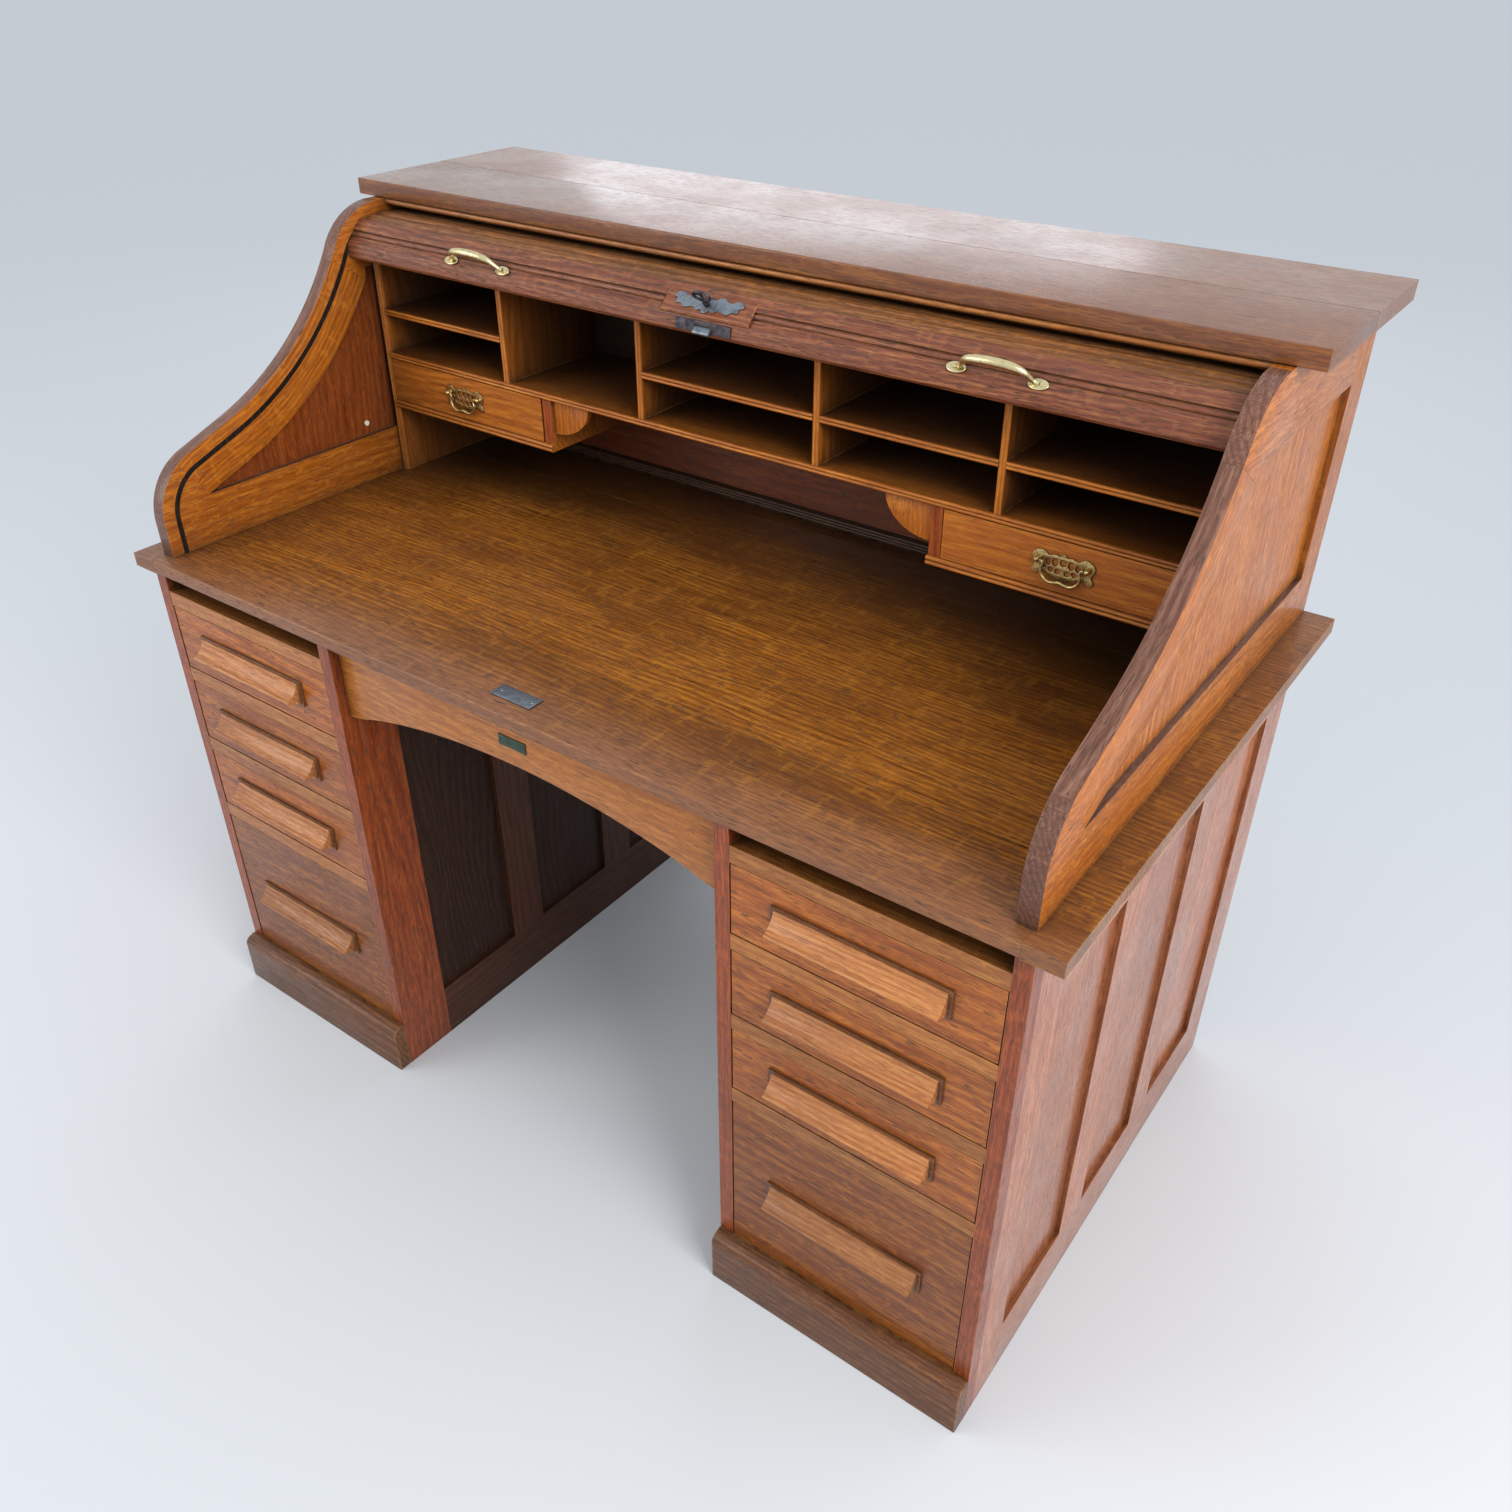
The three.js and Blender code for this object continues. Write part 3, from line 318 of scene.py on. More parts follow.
materials = {
    "topOak": oak(
        "topOak", "56290f", "7c4720", "98602c", "a87a4c", rough=0.28, coat=0.5, tint="6c4434", blotchy=0.5
    ),
    "deskOak": oak(
        "deskOak", "562a06", "92561a", "ba7a2a", "c09858", rough=0.36, coat=0.25, tint="653816",
        blotchy=0.7, pore=0.85, front="80543c", shadow=0.9
    ),
    "gableOak": oak(
        "gableOak", "86400a", "b46418", "d0822c", "d49648", rough=0.36, coat=0.25, tint="9a5018", fleck=0.45
    ),
    # painted shade: a darker, greyer copy of the gable oak for the gables' narrow front faces
    "gableEdgeShade": oak(
        "gableEdgeShade", "4c2a1e", "704838", "8c6654", "b0764a", rough=0.42, coat=0.25, tint="5c382c", pore=0.9
    ),
    # painted shade: a darker copy of the gable oak for the left gable's panel, seen from inside
    "panelShadeOak": oak(
        "panelShadeOak", "6c2e0c", "904618", "a85a24", "a8683a", rough=0.36, coat=0.25, tint="743412", fleck=0.4
    ),
    "plumOak": oak(
        "plumOak", "461f12", "7e4228", "a0683e", "b47a42", rough=0.4, coat=0.25, tint="643a2e", pore=0.95
    ),
    "slatOak": oak(
        "slatOak", "54300f", "8a5428", "aa703a", "b07c48", rough=0.42, coat=0.15, tint="5c381c", pore=0.9
    ),
    "paleOak": oak(
        "paleOak", "7e400e", "ac611c", "c87e2a", "d89a42", rough=0.42, coat=0.2, tint="8a4a1c", fleck=0.15,
        pore=0.35, blotchy=0.4, shadow=0.93
    ),
    # painted shade: a dark oak for interiors, pigeonhole backs, runners and drawer boxes, standing in for
    # their shade
    "insideShadeOak": oak(
        "insideShadeOak", "382010", "583618", "704a24", "7c5630", rough=0.6, coat=0.0, tint="382212", shadow=0.95
    ),
    "frameOak": oak(
        "frameOak", "5e2408", "963f10", "b0581c", "b87236", rough=0.36, coat=0.35, tint="6a3416", pore=0.8,
        fleck=0.3
    ),
    "sideOak": oak(
        "sideOak", "783614", "aa5c2e", "c47a44", "c89058", rough=0.3, coat=0.5, tint="844830", pore=0.6,
        fleck=0.3
    ),
    "railOak": oak("railOak", "7c4414", "a2622a", "b87a38", "c49058", rough=0.38, coat=0.3, tint="8a4c1c"),
    "drawerOak": oak(
        "drawerOak", "642c08", "9c5216", "be7426", "c48c44", rough=0.36, coat=0.3, tint="783c16", pore=0.85,
        spread=0.3, rings=500.0
    ),
    "pullOak": oak(
        "pullOak", "84481e", "aa6c3c", "c08850", "c89460", rough=0.38, coat=0.25, tint="946040", pore=0.4,
        wear=0.15, spread=0.2, fleck=0.2
    ),
    # painted shade: darkened copies of the side oak for the pedestals' kneehole faces
    "kneeShadeOak": oak(
        "kneeShadeOak", "2c1409", "48220d", "603214", "70441e", rough=0.45, coat=0.1, tint="3a1c0c", pore=0.7
    ),
    "kneePanelShadeOak": oak(
        "kneePanelShadeOak", "180a04", "2e1407", "3e1e0a", "462a10", rough=0.6, coat=0.0, tint="221008"
    ),
    "plateOak": oak(
        "plateOak", "4a2610", "6e4020", "8a5630", "9a6a40", rough=0.4, coat=0.3, tint="5a3016", pore=0.8
    ),
    "apronOak": oak(
        "apronOak", "84460f", "aa641f", "c27c30", "c89454", rough=0.36, coat=0.35, tint="92521a"
    ),
    "darkOak": oak("darkOak", "2c1a10", "4a2e1c", "64422a", "8a6846", rough=0.48, coat=0.1, tint="3a2418"),
    "dustOak": oak(
        "dustOak", "66502e", "8a7048", "a48a60", "b09a72", rough=0.7, coat=0.0, tint="5c4a30", shadow=0.75
    ),
    # painted shade: near-black colour for the groove's shade
    "grooveShadeOak": oak(
        "grooveShadeOak", "080504", "100a07", "1a110b", "22160e", rough=0.6, coat=0.0, tint="0a0604", wear=0.0
    ),
    "plinthOak": oak(
        "plinthOak", "40220f", "6a3e20", "885a32", "a0764a", rough=0.4, coat=0.2, tint="4c2a16", wear=0.8,
        reach=0.006, pore=0.8
    ),
    "brass": metal("brass", "e0d2a4", "8a7c50", rough=0.2, tarnish=0.4),
    "oldBrass": metal("oldBrass", "cdb67c", "5a4c2a", rough=0.24, tarnish=0.6, scale=260.0, hammered=0.5),
    "iron": metal("iron", "5a565c", "24222a", rough=0.42, tarnish=0.7, metallic=0.85, hammered=0.6),
    "steel": metal("steel", "868e98", "4a525c", rough=0.34, tarnish=0.6, metallic=0.9, hammered=0.5),
    "badge": metal("badge", "2c4034", "141c18", rough=0.4, tarnish=0.5, metallic=0.2),
    "plug": metal("plug", "e8e2d4", "b8b0a0", rough=0.5, tarnish=0.4, metallic=0.0),
}
print("materials made")


# mesh helpers
def at(x, y, z):
    # y from the desktop's front edge, millimetres
    return Vector((x / 1000, y / 1000 - frontOffset, z / 1000))


def pieceFrom(mesh, name, materialNames, body, nodes, smoothAngle):
    data = bpy.data.meshes.new(name)
    mesh.to_mesh(data)
    mesh.free()
    made = bpy.data.objects.new(name, data)
    bpy.context.scene.collection.objects.link(made)
    for materialName in materialNames:
        data.materials.append(materials[materialName])
    data.shade_smooth()
    data.set_sharp_from_angle(angle=math.radians(smoothAngle))
    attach(made, body)
    if nodes:
        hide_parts(*nodes)
    return made


class Maker:
    def __init__(self, name, seed=1):
        self.name = name
        self.mesh = bmesh.new()
        self.grain = self.mesh.verts.layers.float_vector.new("grainPlace")
        self.plank = self.mesh.verts.layers.float.new("plank")
        self.materials = []
        self.chance = random.Random(seed)

    def slotOf(self, materialName):
        if materialName not in self.materials:
            self.materials.append(materialName)
        return self.materials.index(materialName)

    def finish(self, verts, materialName, grain, plank=None, placeOf=None):
        shift = Vector([self.chance.uniform(0, 9) for _ in range(3)])
        value = self.chance.random() if plank is None else plank
        order = {"x": (0, 1, 2), "y": (1, 0, 2), "z": (2, 0, 1)}[grain]
        index = self.slotOf(materialName)
        for vert in verts:
            place = placeOf(vert.co) if placeOf else Vector([vert.co[k] for k in order])
            vert[self.grain] = place + shift
            vert[self.plank] = value
        for face in {face for vert in verts for face in vert.link_faces}:
            face.material_index = index

    def soften(self, verts, width, segments=2, sharper=0.45):
        edges = {edge for vert in verts for edge in vert.link_edges}
        sharp = [
            edge for edge in self.mesh.edges
            if edge in edges and len(edge.link_faces) == 2 and edge.calc_face_angle(0) > sharper
        ]
        before = set(self.mesh.verts) - set(verts)
        if width > 0:
            bmesh.ops.bevel(
                self.mesh, geom=sharp, offset=width / 1000, segments=segments, profile=0.6, affect="EDGES",
                clamp_overlap=True
            )
        return [vert for vert in self.mesh.verts if vert not in before]

    def board(self, x, y, z, materialName, grain="x", bevel=0.8, plank=None):
        corners = [self.mesh.verts.new(at(a, b, c)) for a in x for b in y for c in z]
        for quad in ((0, 1, 3, 2), (4, 6, 7, 5), (0, 4, 5, 1), (2, 3, 7, 6), (0, 2, 6, 4), (1, 5, 7, 3)):
            self.mesh.faces.new([corners[k] for k in quad])
        self.finish(self.soften(corners, bevel), materialName, grain, plank)

    def prism(
        self, section, axis, low, high, materialName, grain="x", bevel=0.0, plank=None,
        placeOf=None, sharper=0.45
    ):
        # section holds [y, z], [x, z] or [x, y] pairs for the axes x, y and z
        def corner(pair, along):
            a, b = pair
            return at(*{"x": (along, a, b), "y": (a, along, b), "z": (a, b, along)}[axis])

        near, far = ([self.mesh.verts.new(corner(pair, along)) for pair in section] for along in (low, high))
        count = len(section)
        faces = [self.mesh.faces.new(near), self.mesh.faces.new(list(reversed(far)))]
        for k in range(count):
            after = (k + 1) % count
            faces.append(self.mesh.faces.new([near[k], far[k], far[after], near[after]]))
        bmesh.ops.recalc_face_normals(self.mesh, faces=faces)
        self.finish(
            self.soften(near + far, bevel, sharper=sharper), materialName,
            grain, plank, placeOf
        )

    def piece(self, body, nodes=(), smoothAngle=35):
        self.mesh.normal_update()
        return pieceFrom(self.mesh, self.name, self.materials, body, nodes, smoothAngle)


def mirrored(sign, near, far):
    return (near, far) if sign > 0 else (-far, -near)


sides = (("left", -1), ("right", 1))
faceForward = Matrix.Rotation(math.radians(90), 4, "X")  # turns a flat plate to face the sitter


def roundBar(points, radius, across, sides=12, taper=None):
    # a swept bar whose bends all lie square to the direction across, with closed domed ends
    mesh = bmesh.new()
    rings = []
    for i, point in enumerate(points):
        along = (points[min(i + 1, len(points) - 1)] - points[max(i - 1, 0)]).normalized()
        third = along.cross(across).normalized()
        size = radius * (taper(i / (len(points) - 1)) if taper else 1)
        rings.append(
            [
                mesh.verts.new(
                    point + across * size * math.cos(2 * math.pi * k / sides)
                    + third * size * math.sin(2 * math.pi * k / sides)
                ) for k in range(sides)
            ]
        )
    for first, second in zip(rings, rings[1:]):
        for k in range(sides):
            mesh.faces.new([first[k], first[(k + 1) % sides], second[(k + 1) % sides], second[k]])
    mesh.faces.new(rings[0])
    mesh.faces.new(rings[-1])
    bmesh.ops.recalc_face_normals(mesh, faces=mesh.faces)
    return mesh


def splinePoint(a, b, c, d, t):
    # Catmull-Rom curve between b and c
    return 0.5 * (
        2 * b + (c - a) * t + (2 * a - 5 * b + 4 * c - d) * t * t + (3 * b - a - 3 * c + d) * t ** 3
    )


def oval(centreX, centreY, wide, high, count):
    # points round an oval, given in millimetres and placed in metres
    points = []
    for k in range(count):
        a = 2 * math.pi * k / count
        points.append(((centreX + wide * math.cos(a)) / 1000, (centreY + high * math.sin(a)) / 1000))
    return points


def smoothPath(points, steps):
    padded = [points[0] * 2 - points[1], *points, points[-1] * 2 - points[-2]]
    path = []
    for a, b, c, d in zip(padded, padded[1:], padded[2:], padded[3:]):
        for k in range(steps):
            path.append(splinePoint(a, b, c, d, k / steps))
    return path + [points[-1]]


def joinMeshes(name, parts, materialName, body, nodes=()):
    whole = bmesh.new()
    for part in parts:
        holder = bpy.data.meshes.new("holder")
        part.to_mesh(holder)
        part.free()
        whole.from_mesh(holder)
        bpy.data.meshes.remove(holder)
    return pieceFrom(whole, name, [materialName], body, nodes, 40)


def flatPlate(outline, holes, thick, bevel, place):
    # a plate with holes, drawn in its own plane and carried to its place by a matrix
    curve = bpy.data.curves.new("plate", "CURVE")
    curve.dimensions = "2D"
    curve.fill_mode = "BOTH"
    curve.extrude = thick / 2 - bevel
    curve.bevel_depth = bevel
    curve.bevel_resolution = 2
    curve.offset = -bevel
    for points in [outline, *holes]:
        spline = curve.splines.new("POLY")
        spline.points.add(len(points) - 1)
        for target, (a, b) in zip(spline.points, points):
            target.co = (a, b, 0, 1)
        spline.use_cyclic_u = True
    holder = bpy.data.objects.new("plateHolder", curve)
    bpy.context.scene.collection.objects.link(holder)
    data = bpy.data.meshes.new_from_object(holder.evaluated_get(bpy.context.evaluated_depsgraph_get()))
    mesh = bmesh.new()
    mesh.from_mesh(data)
    bmesh.ops.remove_doubles(mesh, verts=mesh.verts, dist=1e-6)
    bmesh.ops.recalc_face_normals(mesh, faces=mesh.faces)
    bmesh.ops.transform(mesh, matrix=place, verts=mesh.verts)
    bpy.data.objects.remove(holder)
    bpy.data.meshes.remove(data)
    return mesh


def smoothOutline(points, steps=5):
    count = len(points)
    path = []
    for i in range(count):
        a, b, c, d = (Vector(points[(i + k) % count]) for k in (-1, 0, 1, 2))
        for k in range(steps):
            path.append(splinePoint(a, b, c, d, k / steps))
    return [tuple(point) for point in path]


def screwHead(centre, out, radius, height=0.0006):
    # a slotted flat screw head standing on a surface
    mesh = bmesh.new()
    bmesh.ops.create_cone(
        mesh, cap_ends=True, segments=16, radius1=radius, radius2=radius * 0.82, depth=height * 2
    )
    turn = out.to_track_quat("Z", "Y").to_matrix().to_4x4()
    bmesh.ops.transform(mesh, matrix=Matrix.Translation(centre) @ turn, verts=mesh.verts)
    return mesh


# S curve
curve = {
    "lowArc": (112, 810, 90), "hollowArc": (6, 1315.3, 421), "topArc": (457, 1055, 100),
    "slope": 20, "steep": 60, "grooveInset": 21, "rearArc": (524, 894, 240), "gableFront": 22,
}


def edgeCurve(inset, step=2.5):
    points = []

    def sweep(start, stop):
        count = max(1, round(abs(stop - start) / step))
        return [math.radians(start + (stop - start) * k / count) for k in range(count + 1)]

    cy, cz, r = curve["lowArc"]
    points += [
        (cy - (r - inset) * math.sin(a), cz + (r - inset) * math.cos(a)) for a in sweep(90, curve["slope"])
    ]
    cy, cz, r = curve["hollowArc"]
    points += [
        (cy + (r + inset) * math.sin(a), cz - (r + inset) * math.cos(a))
        for a in sweep(curve["slope"], curve["steep"])
    ]
    cy, cz, r = curve["topArc"]
    points += [
        (cy - (r - inset) * math.sin(a), cz + (r - inset) * math.cos(a)) for a in sweep(curve["steep"], 0)
    ][1:]
    return points


trackTop = curve["topArc"][2] - curve["grooveInset"]
trackHollow = curve["hollowArc"][2] + curve["grooveInset"]
levelLong = curve["rearArc"][0] - curve["topArc"][0]


def track(along):
    topY, topZ, _ = curve["topArc"]
    hollowY, hollowZ, _ = curve["hollowArc"]
    rearY, rearZ, rearR = curve["rearArc"]
    steep = math.radians(curve["steep"])
    if along < -steep * trackTop:
        tilt = steep - (-along - steep * trackTop) / trackHollow
        return hollowY + trackHollow * math.sin(tilt), hollowZ - trackHollow * math.cos(tilt), tilt
    if along < 0:
        tilt = -along / trackTop
        return topY - trackTop * math.sin(tilt), topZ + trackTop * math.cos(tilt), tilt
    if along < levelLong:
        return topY + along, topZ + trackTop, 0.0
    turn = (along - levelLong) / rearR
    if turn < math.pi / 2:
        return rearY + rearR * math.sin(turn), rearZ + rearR * math.cos(turn), -turn
    return rearY + rearR, rearZ - (along - levelLong - rearR * math.pi / 2), -math.pi / 2


# desktop and top board
desktop = {
    "width": 1396, "depth": 785, "top": 762, "thick": 19, "planks": (0, 128, 331, 540, 785), "nose": 3.0
}


def roundedEdge(y0, y1, z0, z1, nose):
    section = []
    for cy, cz, start in ((y0 + nose, z1 - nose, 90), (y0 + nose, z0 + nose, 180)):
        for k in range(5):
            a = math.radians(start + 22.5 * k)
            section.append((cy + nose * math.cos(a), cz + nose * math.sin(a)))
    section += [(y1 - 1, z0), (y1, z0 + 1), (y1, z1 - 1), (y1 - 1, z1)]
    return section


maker = Maker("desktop_boards", 3)
half = desktop["width"] / 2
top = desktop["top"]
cleat = 44  # the end boards
planks = desktop["planks"]
for k, (y0, y1) in enumerate(zip(planks, planks[1:])):
    low, high = top - desktop["thick"], top
    inner = half - cleat
    if k == 0:
        maker.prism(
            roundedEdge(y0, y1 - 0.15, low, high, desktop["nose"]), "x", -inner, inner, "deskOak", "x",
            plank=0.35
        )
    else:
        maker.board((-inner, inner), (y0 + 0.15, y1 - 0.15), (low, high), "deskOak", "x", 0.25,
                    plank=(0.75, 0.45, 0.6)[k - 1])
for name, sign in sides:
    x0, x1 = mirrored(sign, half - cleat + 0.25, half)
    maker.board(
        (x0, x1), (0, desktop["depth"]), (top - desktop["thick"], top), "deskOak", "x", 1.8, plank=0.25
    )
maker.piece("carcass", ["desktop"])

topBoard = {"half": 688, "front": 469, "joint": 628, "back": 785, "under": 1155, "thick": 22}
maker = Maker("top_boards", 5)
x = (-topBoard["half"], topBoard["half"])
z = (topBoard["under"], topBoard["under"] + topBoard["thick"])
frontBoard = roundedEdge(topBoard["front"], topBoard["joint"], *z, 2.0)
maker.prism(frontBoard, "x", *x, "topOak", "x", plank=0.5, bevel=1.2, sharper=1.2)
maker.board(x, (topBoard["joint"] + 0.2, topBoard["back"]), z, "topOak", "x", 1.2, plank=0.7)
bead = []
for k in range(9):
    a = math.radians(90 + 22.5 * k)
    bead.append((topBoard["front"] + 5.5 + 4.5 * math.cos(a), topBoard["under"] - 4.7 + 4.5 * math.sin(a)))
bead += [(topBoard["front"] + 9, topBoard["under"] - 9), (topBoard["front"] + 9, topBoard["under"] - 0.1)]
maker.prism(bead, "x", -636.5, 636.5, "railOak", "x", plank=0.8)
maker.piece("carcass", ["top_board"])
print("desktop and top board made")

# gables
gable = {
    "inner": 637, "thick": 22, "sunk": 8, "stile": 65, "panelBottom": 830, "panelTop": 1070,
    "panelBack": 725, "bottom": 762.3, "top": 1154.7, "back": 785
}
outer = edgeCurve(0)
inner = edgeCurve(gable["stile"])
inner = [point for point in inner if gable["panelBottom"] < point[1] < gable["panelTop"]]
lengths = [0.0]
for first, second in zip(outer, outer[1:]):
    lengths.append(lengths[-1] + math.dist(first, second) / 1000)


def alongCurve(place):
    y, z = (place.y + frontOffset) * 1000, place.z * 1000
    best = min(range(len(outer)), key=lambda k: math.dist(outer[k], (y, z)))
    return Vector((lengths[best], math.dist(outer[best], (y, z)) / 1000, place.x))


def strip(maker, first, second, x0, x1, materialName, placeOf, bevel=0.6):
    # a closed band between two lines of equal length
    rows = []
    for (ya, za), (yb, zb) in zip(first, second):
        rows.append([maker.mesh.verts.new(at(x, y, z)) for x, y, z in
                     ((x0, ya, za), (x1, ya, za), (x1, yb, zb), (x0, yb, zb))])
    faces = [maker.mesh.faces.new(rows[0]), maker.mesh.faces.new(rows[-1])]
    for a, b in zip(rows, rows[1:]):
        for k in range(4):
            faces.append(maker.mesh.faces.new([a[k], a[(k + 1) % 4], b[(k + 1) % 4], b[k]]))
    bmesh.ops.recalc_face_normals(maker.mesh, faces=faces)
    verts = maker.soften([vert for row in rows for vert in row], bevel)
    maker.finish(verts, materialName, "x", 0.6, placeOf)


def grooveLine(side):
    # one wall of the groove on the inner face
    line = [(curve["gableFront"] + curve["grooveInset"], gable["bottom"], math.pi / 2)]
    total = math.radians(curve["steep"]) * trackTop + math.radians(
        curve["steep"] - curve["slope"]
    ) * trackHollow
    lowY, lowZ, lowR = curve["lowArc"]
    for k in range(15):
        a = math.radians(90 - 5 * k)
        r = lowR - curve["grooveInset"]
        line.append((lowY - r * math.sin(a), lowZ + r * math.cos(a), a))
    steps = 40
    for k in range(steps + 1):
        along = -total + (total + levelLong) * k / steps
        line.append(track(along))
    for k in range(1, 19):
        line.append(track(levelLong + curve["rearArc"][2] * math.radians(5 * k)))
    line.append((curve["rearArc"][0] + curve["rearArc"][2], gable["bottom"], -math.pi / 2))
    return [(y - side * math.sin(tilt) * 3.5, z + side * math.cos(tilt) * 3.5) for y, z, tilt in line]


for name, sign in sides:
    maker = Maker("gable_boards_" + name, 11 + sign)
    near, far = gable["inner"], gable["inner"] + gable["thick"]
    x0, x1 = mirrored(sign, near, far)
    # stile that follows the curve; its inner line is the panel's edge between the two rails
    pairs = []
    innerAll = edgeCurve(gable["stile"])
    for a, b in zip(outer, innerAll):
        if b[1] < gable["panelBottom"]:
            b = (max(b[0], 97.0) if b[0] > 60 else b[0], min(b[1], gable["panelBottom"]))
        pairs.append((a, (b[0], min(b[1], gable["panelTop"] + 60))))
    start = next(k for k, (a, b) in enumerate(pairs) if b[1] >= gable["panelBottom"])
    stop = max(k for k, (a, b) in enumerate(pairs) if b[1] <= gable["panelTop"])
    chosen = pairs[start:stop + 1]
    strip(maker, [a for a, b in chosen], [b for a, b in chosen], x0, x1, "gableOak", alongCurve)
    # foot of the gable: below the stile and the panel
    foot = [(curve["gableFront"], gable["bottom"])] + [a for a, b in pairs[:start + 1]]
    foot += [
        chosen[0][1], (chosen[0][1][0], gable["panelBottom"]), (gable["back"] - 60, gable["panelBottom"]),
        (gable["back"] - 60, gable["bottom"])
    ]
    maker.prism(foot, "x", x0, x1, "gableOak", "y", bevel=0.6,
                plank=0.4)
    # top rail and the round shoulder
    shoulder = [chosen[-1][0]] + [a for a, b in pairs[stop + 1:]]
    shoulder += [(gable["back"] - 60, gable["top"]), (gable["back"] - 60, gable["panelTop"])]
    shoulder += [(chosen[-1][1][0] + 2, gable["panelTop"]), chosen[-1][1]]
    maker.prism(
        [(y, min(z, gable["top"])) for y, z in shoulder], "x", x0, x1, "gableOak", "y", bevel=0.6, plank=0.7
    )
    # back stile and panel
    maker.board(
        (x0, x1), (gable["back"] - 59.8, gable["back"]), (gable["bottom"], gable["top"]), "gableOak", "z",
        0.6, 0.3
    )
    p0, p1 = mirrored(sign, near + gable["sunk"], far - gable["sunk"])
    panel = [b for a, b in chosen]
    panel = [(panel[0][0] - 4, panel[0][1] - 4)] + [(y - 3, z + 3) for y, z in panel]
    panel += [
        (chosen[-1][1][0] - 1, gable["panelTop"] + 4), (gable["panelBack"] + 4, gable["panelTop"] + 4),
        (gable["panelBack"] + 4, gable["panelBottom"] - 4)
    ]
    # the left gable's panel takes the painted-shade copy; the right one keeps the gable oak
    maker.prism(panel, "x", p0, p1, "gableOak" if sign > 0 else "panelShadeOak", "z", plank=0.5)
    # painted shade: faces near the front that don't face sideways take the darker, greyer gable copy
    maker.mesh.normal_update()
    edge = maker.slotOf("gableEdgeShade")
    for face in maker.mesh.faces:
        if abs(face.normal.x) < 0.35 and face.calc_center_median().y < 0.14:
            face.material_index = edge
    maker.piece("carcass", ["gable_" + name])
    # a near-black strip laid just proud of the inner face: painted shade standing in for the groove, which is
    # not cut
    maker = Maker("groove_shade_" + name, 2)
    first, second = grooveLine(-1), grooveLine(1)
    g0, g1 = mirrored(sign, near - 0.25, near + 0.6)
    strip(maker, first, second, g0, g1, "grooveShadeOak",
          lambda place: Vector((place.z, place.y, place.x)), 0.0)
    maker.piece("carcass", ())
print("gables made")

# backs
upperBack = {
    "half": 636.7, "front": 773.7, "back": 785, "low": 762.3, "high": 1154.7, "rail": 69.7, "stile": 65,
    "muntinAt": 190.1, "sunk": 5
}
maker = Maker("upper_back_boards", 7)
y = (upperBack["front"], upperBack["back"])
low, high, rail, stile = (upperBack[key] for key in ("low", "high", "rail", "stile"))
muntin = upperBack["muntinAt"]
starts = (-upperBack["half"], -muntin - stile / 2, muntin - stile / 2, upperBack["half"] - stile)
for start in starts:
    maker.board((start, start + stile), y, (low, high), "darkOak", "z", 0.6)
for start, after in zip(starts, starts[1:]):
    x = (start + stile + 0.2, after - 0.2)
    maker.board(x, y, (low, low + rail), "darkOak", "x", 0.6)
    maker.board(x, y, (high - rail, high), "darkOak", "x", 0.6)
    maker.board(x, (y[0], y[1] - upperBack["sunk"]), (low + rail - 1, high - rail + 1), "darkOak", "z", 0.3)
maker.piece("carcass", ["upper_back"])

innerBack = {
    "half": 636.5, "front": 650, "thick": 6, "low": 762.3, "high": 1080, "reeds": (764.9, 769.6, 774.4)
}
maker = Maker("inner_back_board", 8)
x = (-innerBack["half"], innerBack["half"])
y = (innerBack["front"], innerBack["front"] + innerBack["thick"])
maker.board(x, y, (innerBack["low"], innerBack["high"]), "frameOak", "x", 0.4, 0.2)
reeds = [(y[0] + 0.5, innerBack["low"]), (y[0] - 12.8, innerBack["low"])]
for centreZ in innerBack["reeds"]:
    for k in range(7):
        a = math.radians(270 - 30 * k)
        reeds.append((y[0] - 10 + (777 - centreZ) * 0.12 + 2.3 * math.cos(a), centreZ + 2.3 * math.sin(a)))
reeds.append((y[0] + 0.5, 777.2))
maker.prism(reeds, "x", x[0] + 0.1, x[1] - 0.1, "darkOak", "x", plank=0.6)
maker.piece("carcass", ["inner_back"])
print("backs made")

# pigeonhole unit
nest = {
    "front": 430, "back": 625, "backThick": 6, "half": 636.5, "side": 12, "low": 762.3, "top": 1082,
    "topThick": 8, "shelf": (938, 947), "midShelf": (1001, 1010), "dividers": (-384, -137.5, 137.5, 384),
    "dividerHalf": 4.5, "post": (301, 318), "floor": (864, 875), "bracket": (65, 48)
}


def beadedNose(low, high, front, deep=4.0, beads=2):
    # a rounded front edge with fine beads, as [depth, height] pairs from the bottom up
    tall = (high - low) / beads
    section = [(front + deep, low)]
    for k in range(beads):
        centre = low + tall * (k + 0.5)
        for j in range(7):
            a = math.radians(270 - 30 * j)
            section.append(
                (front + tall * 0.5 + tall * 0.48 * math.cos(a), centre + tall * 0.48 * math.sin(a))
            )
    section.append((front + deep, high))
    return section


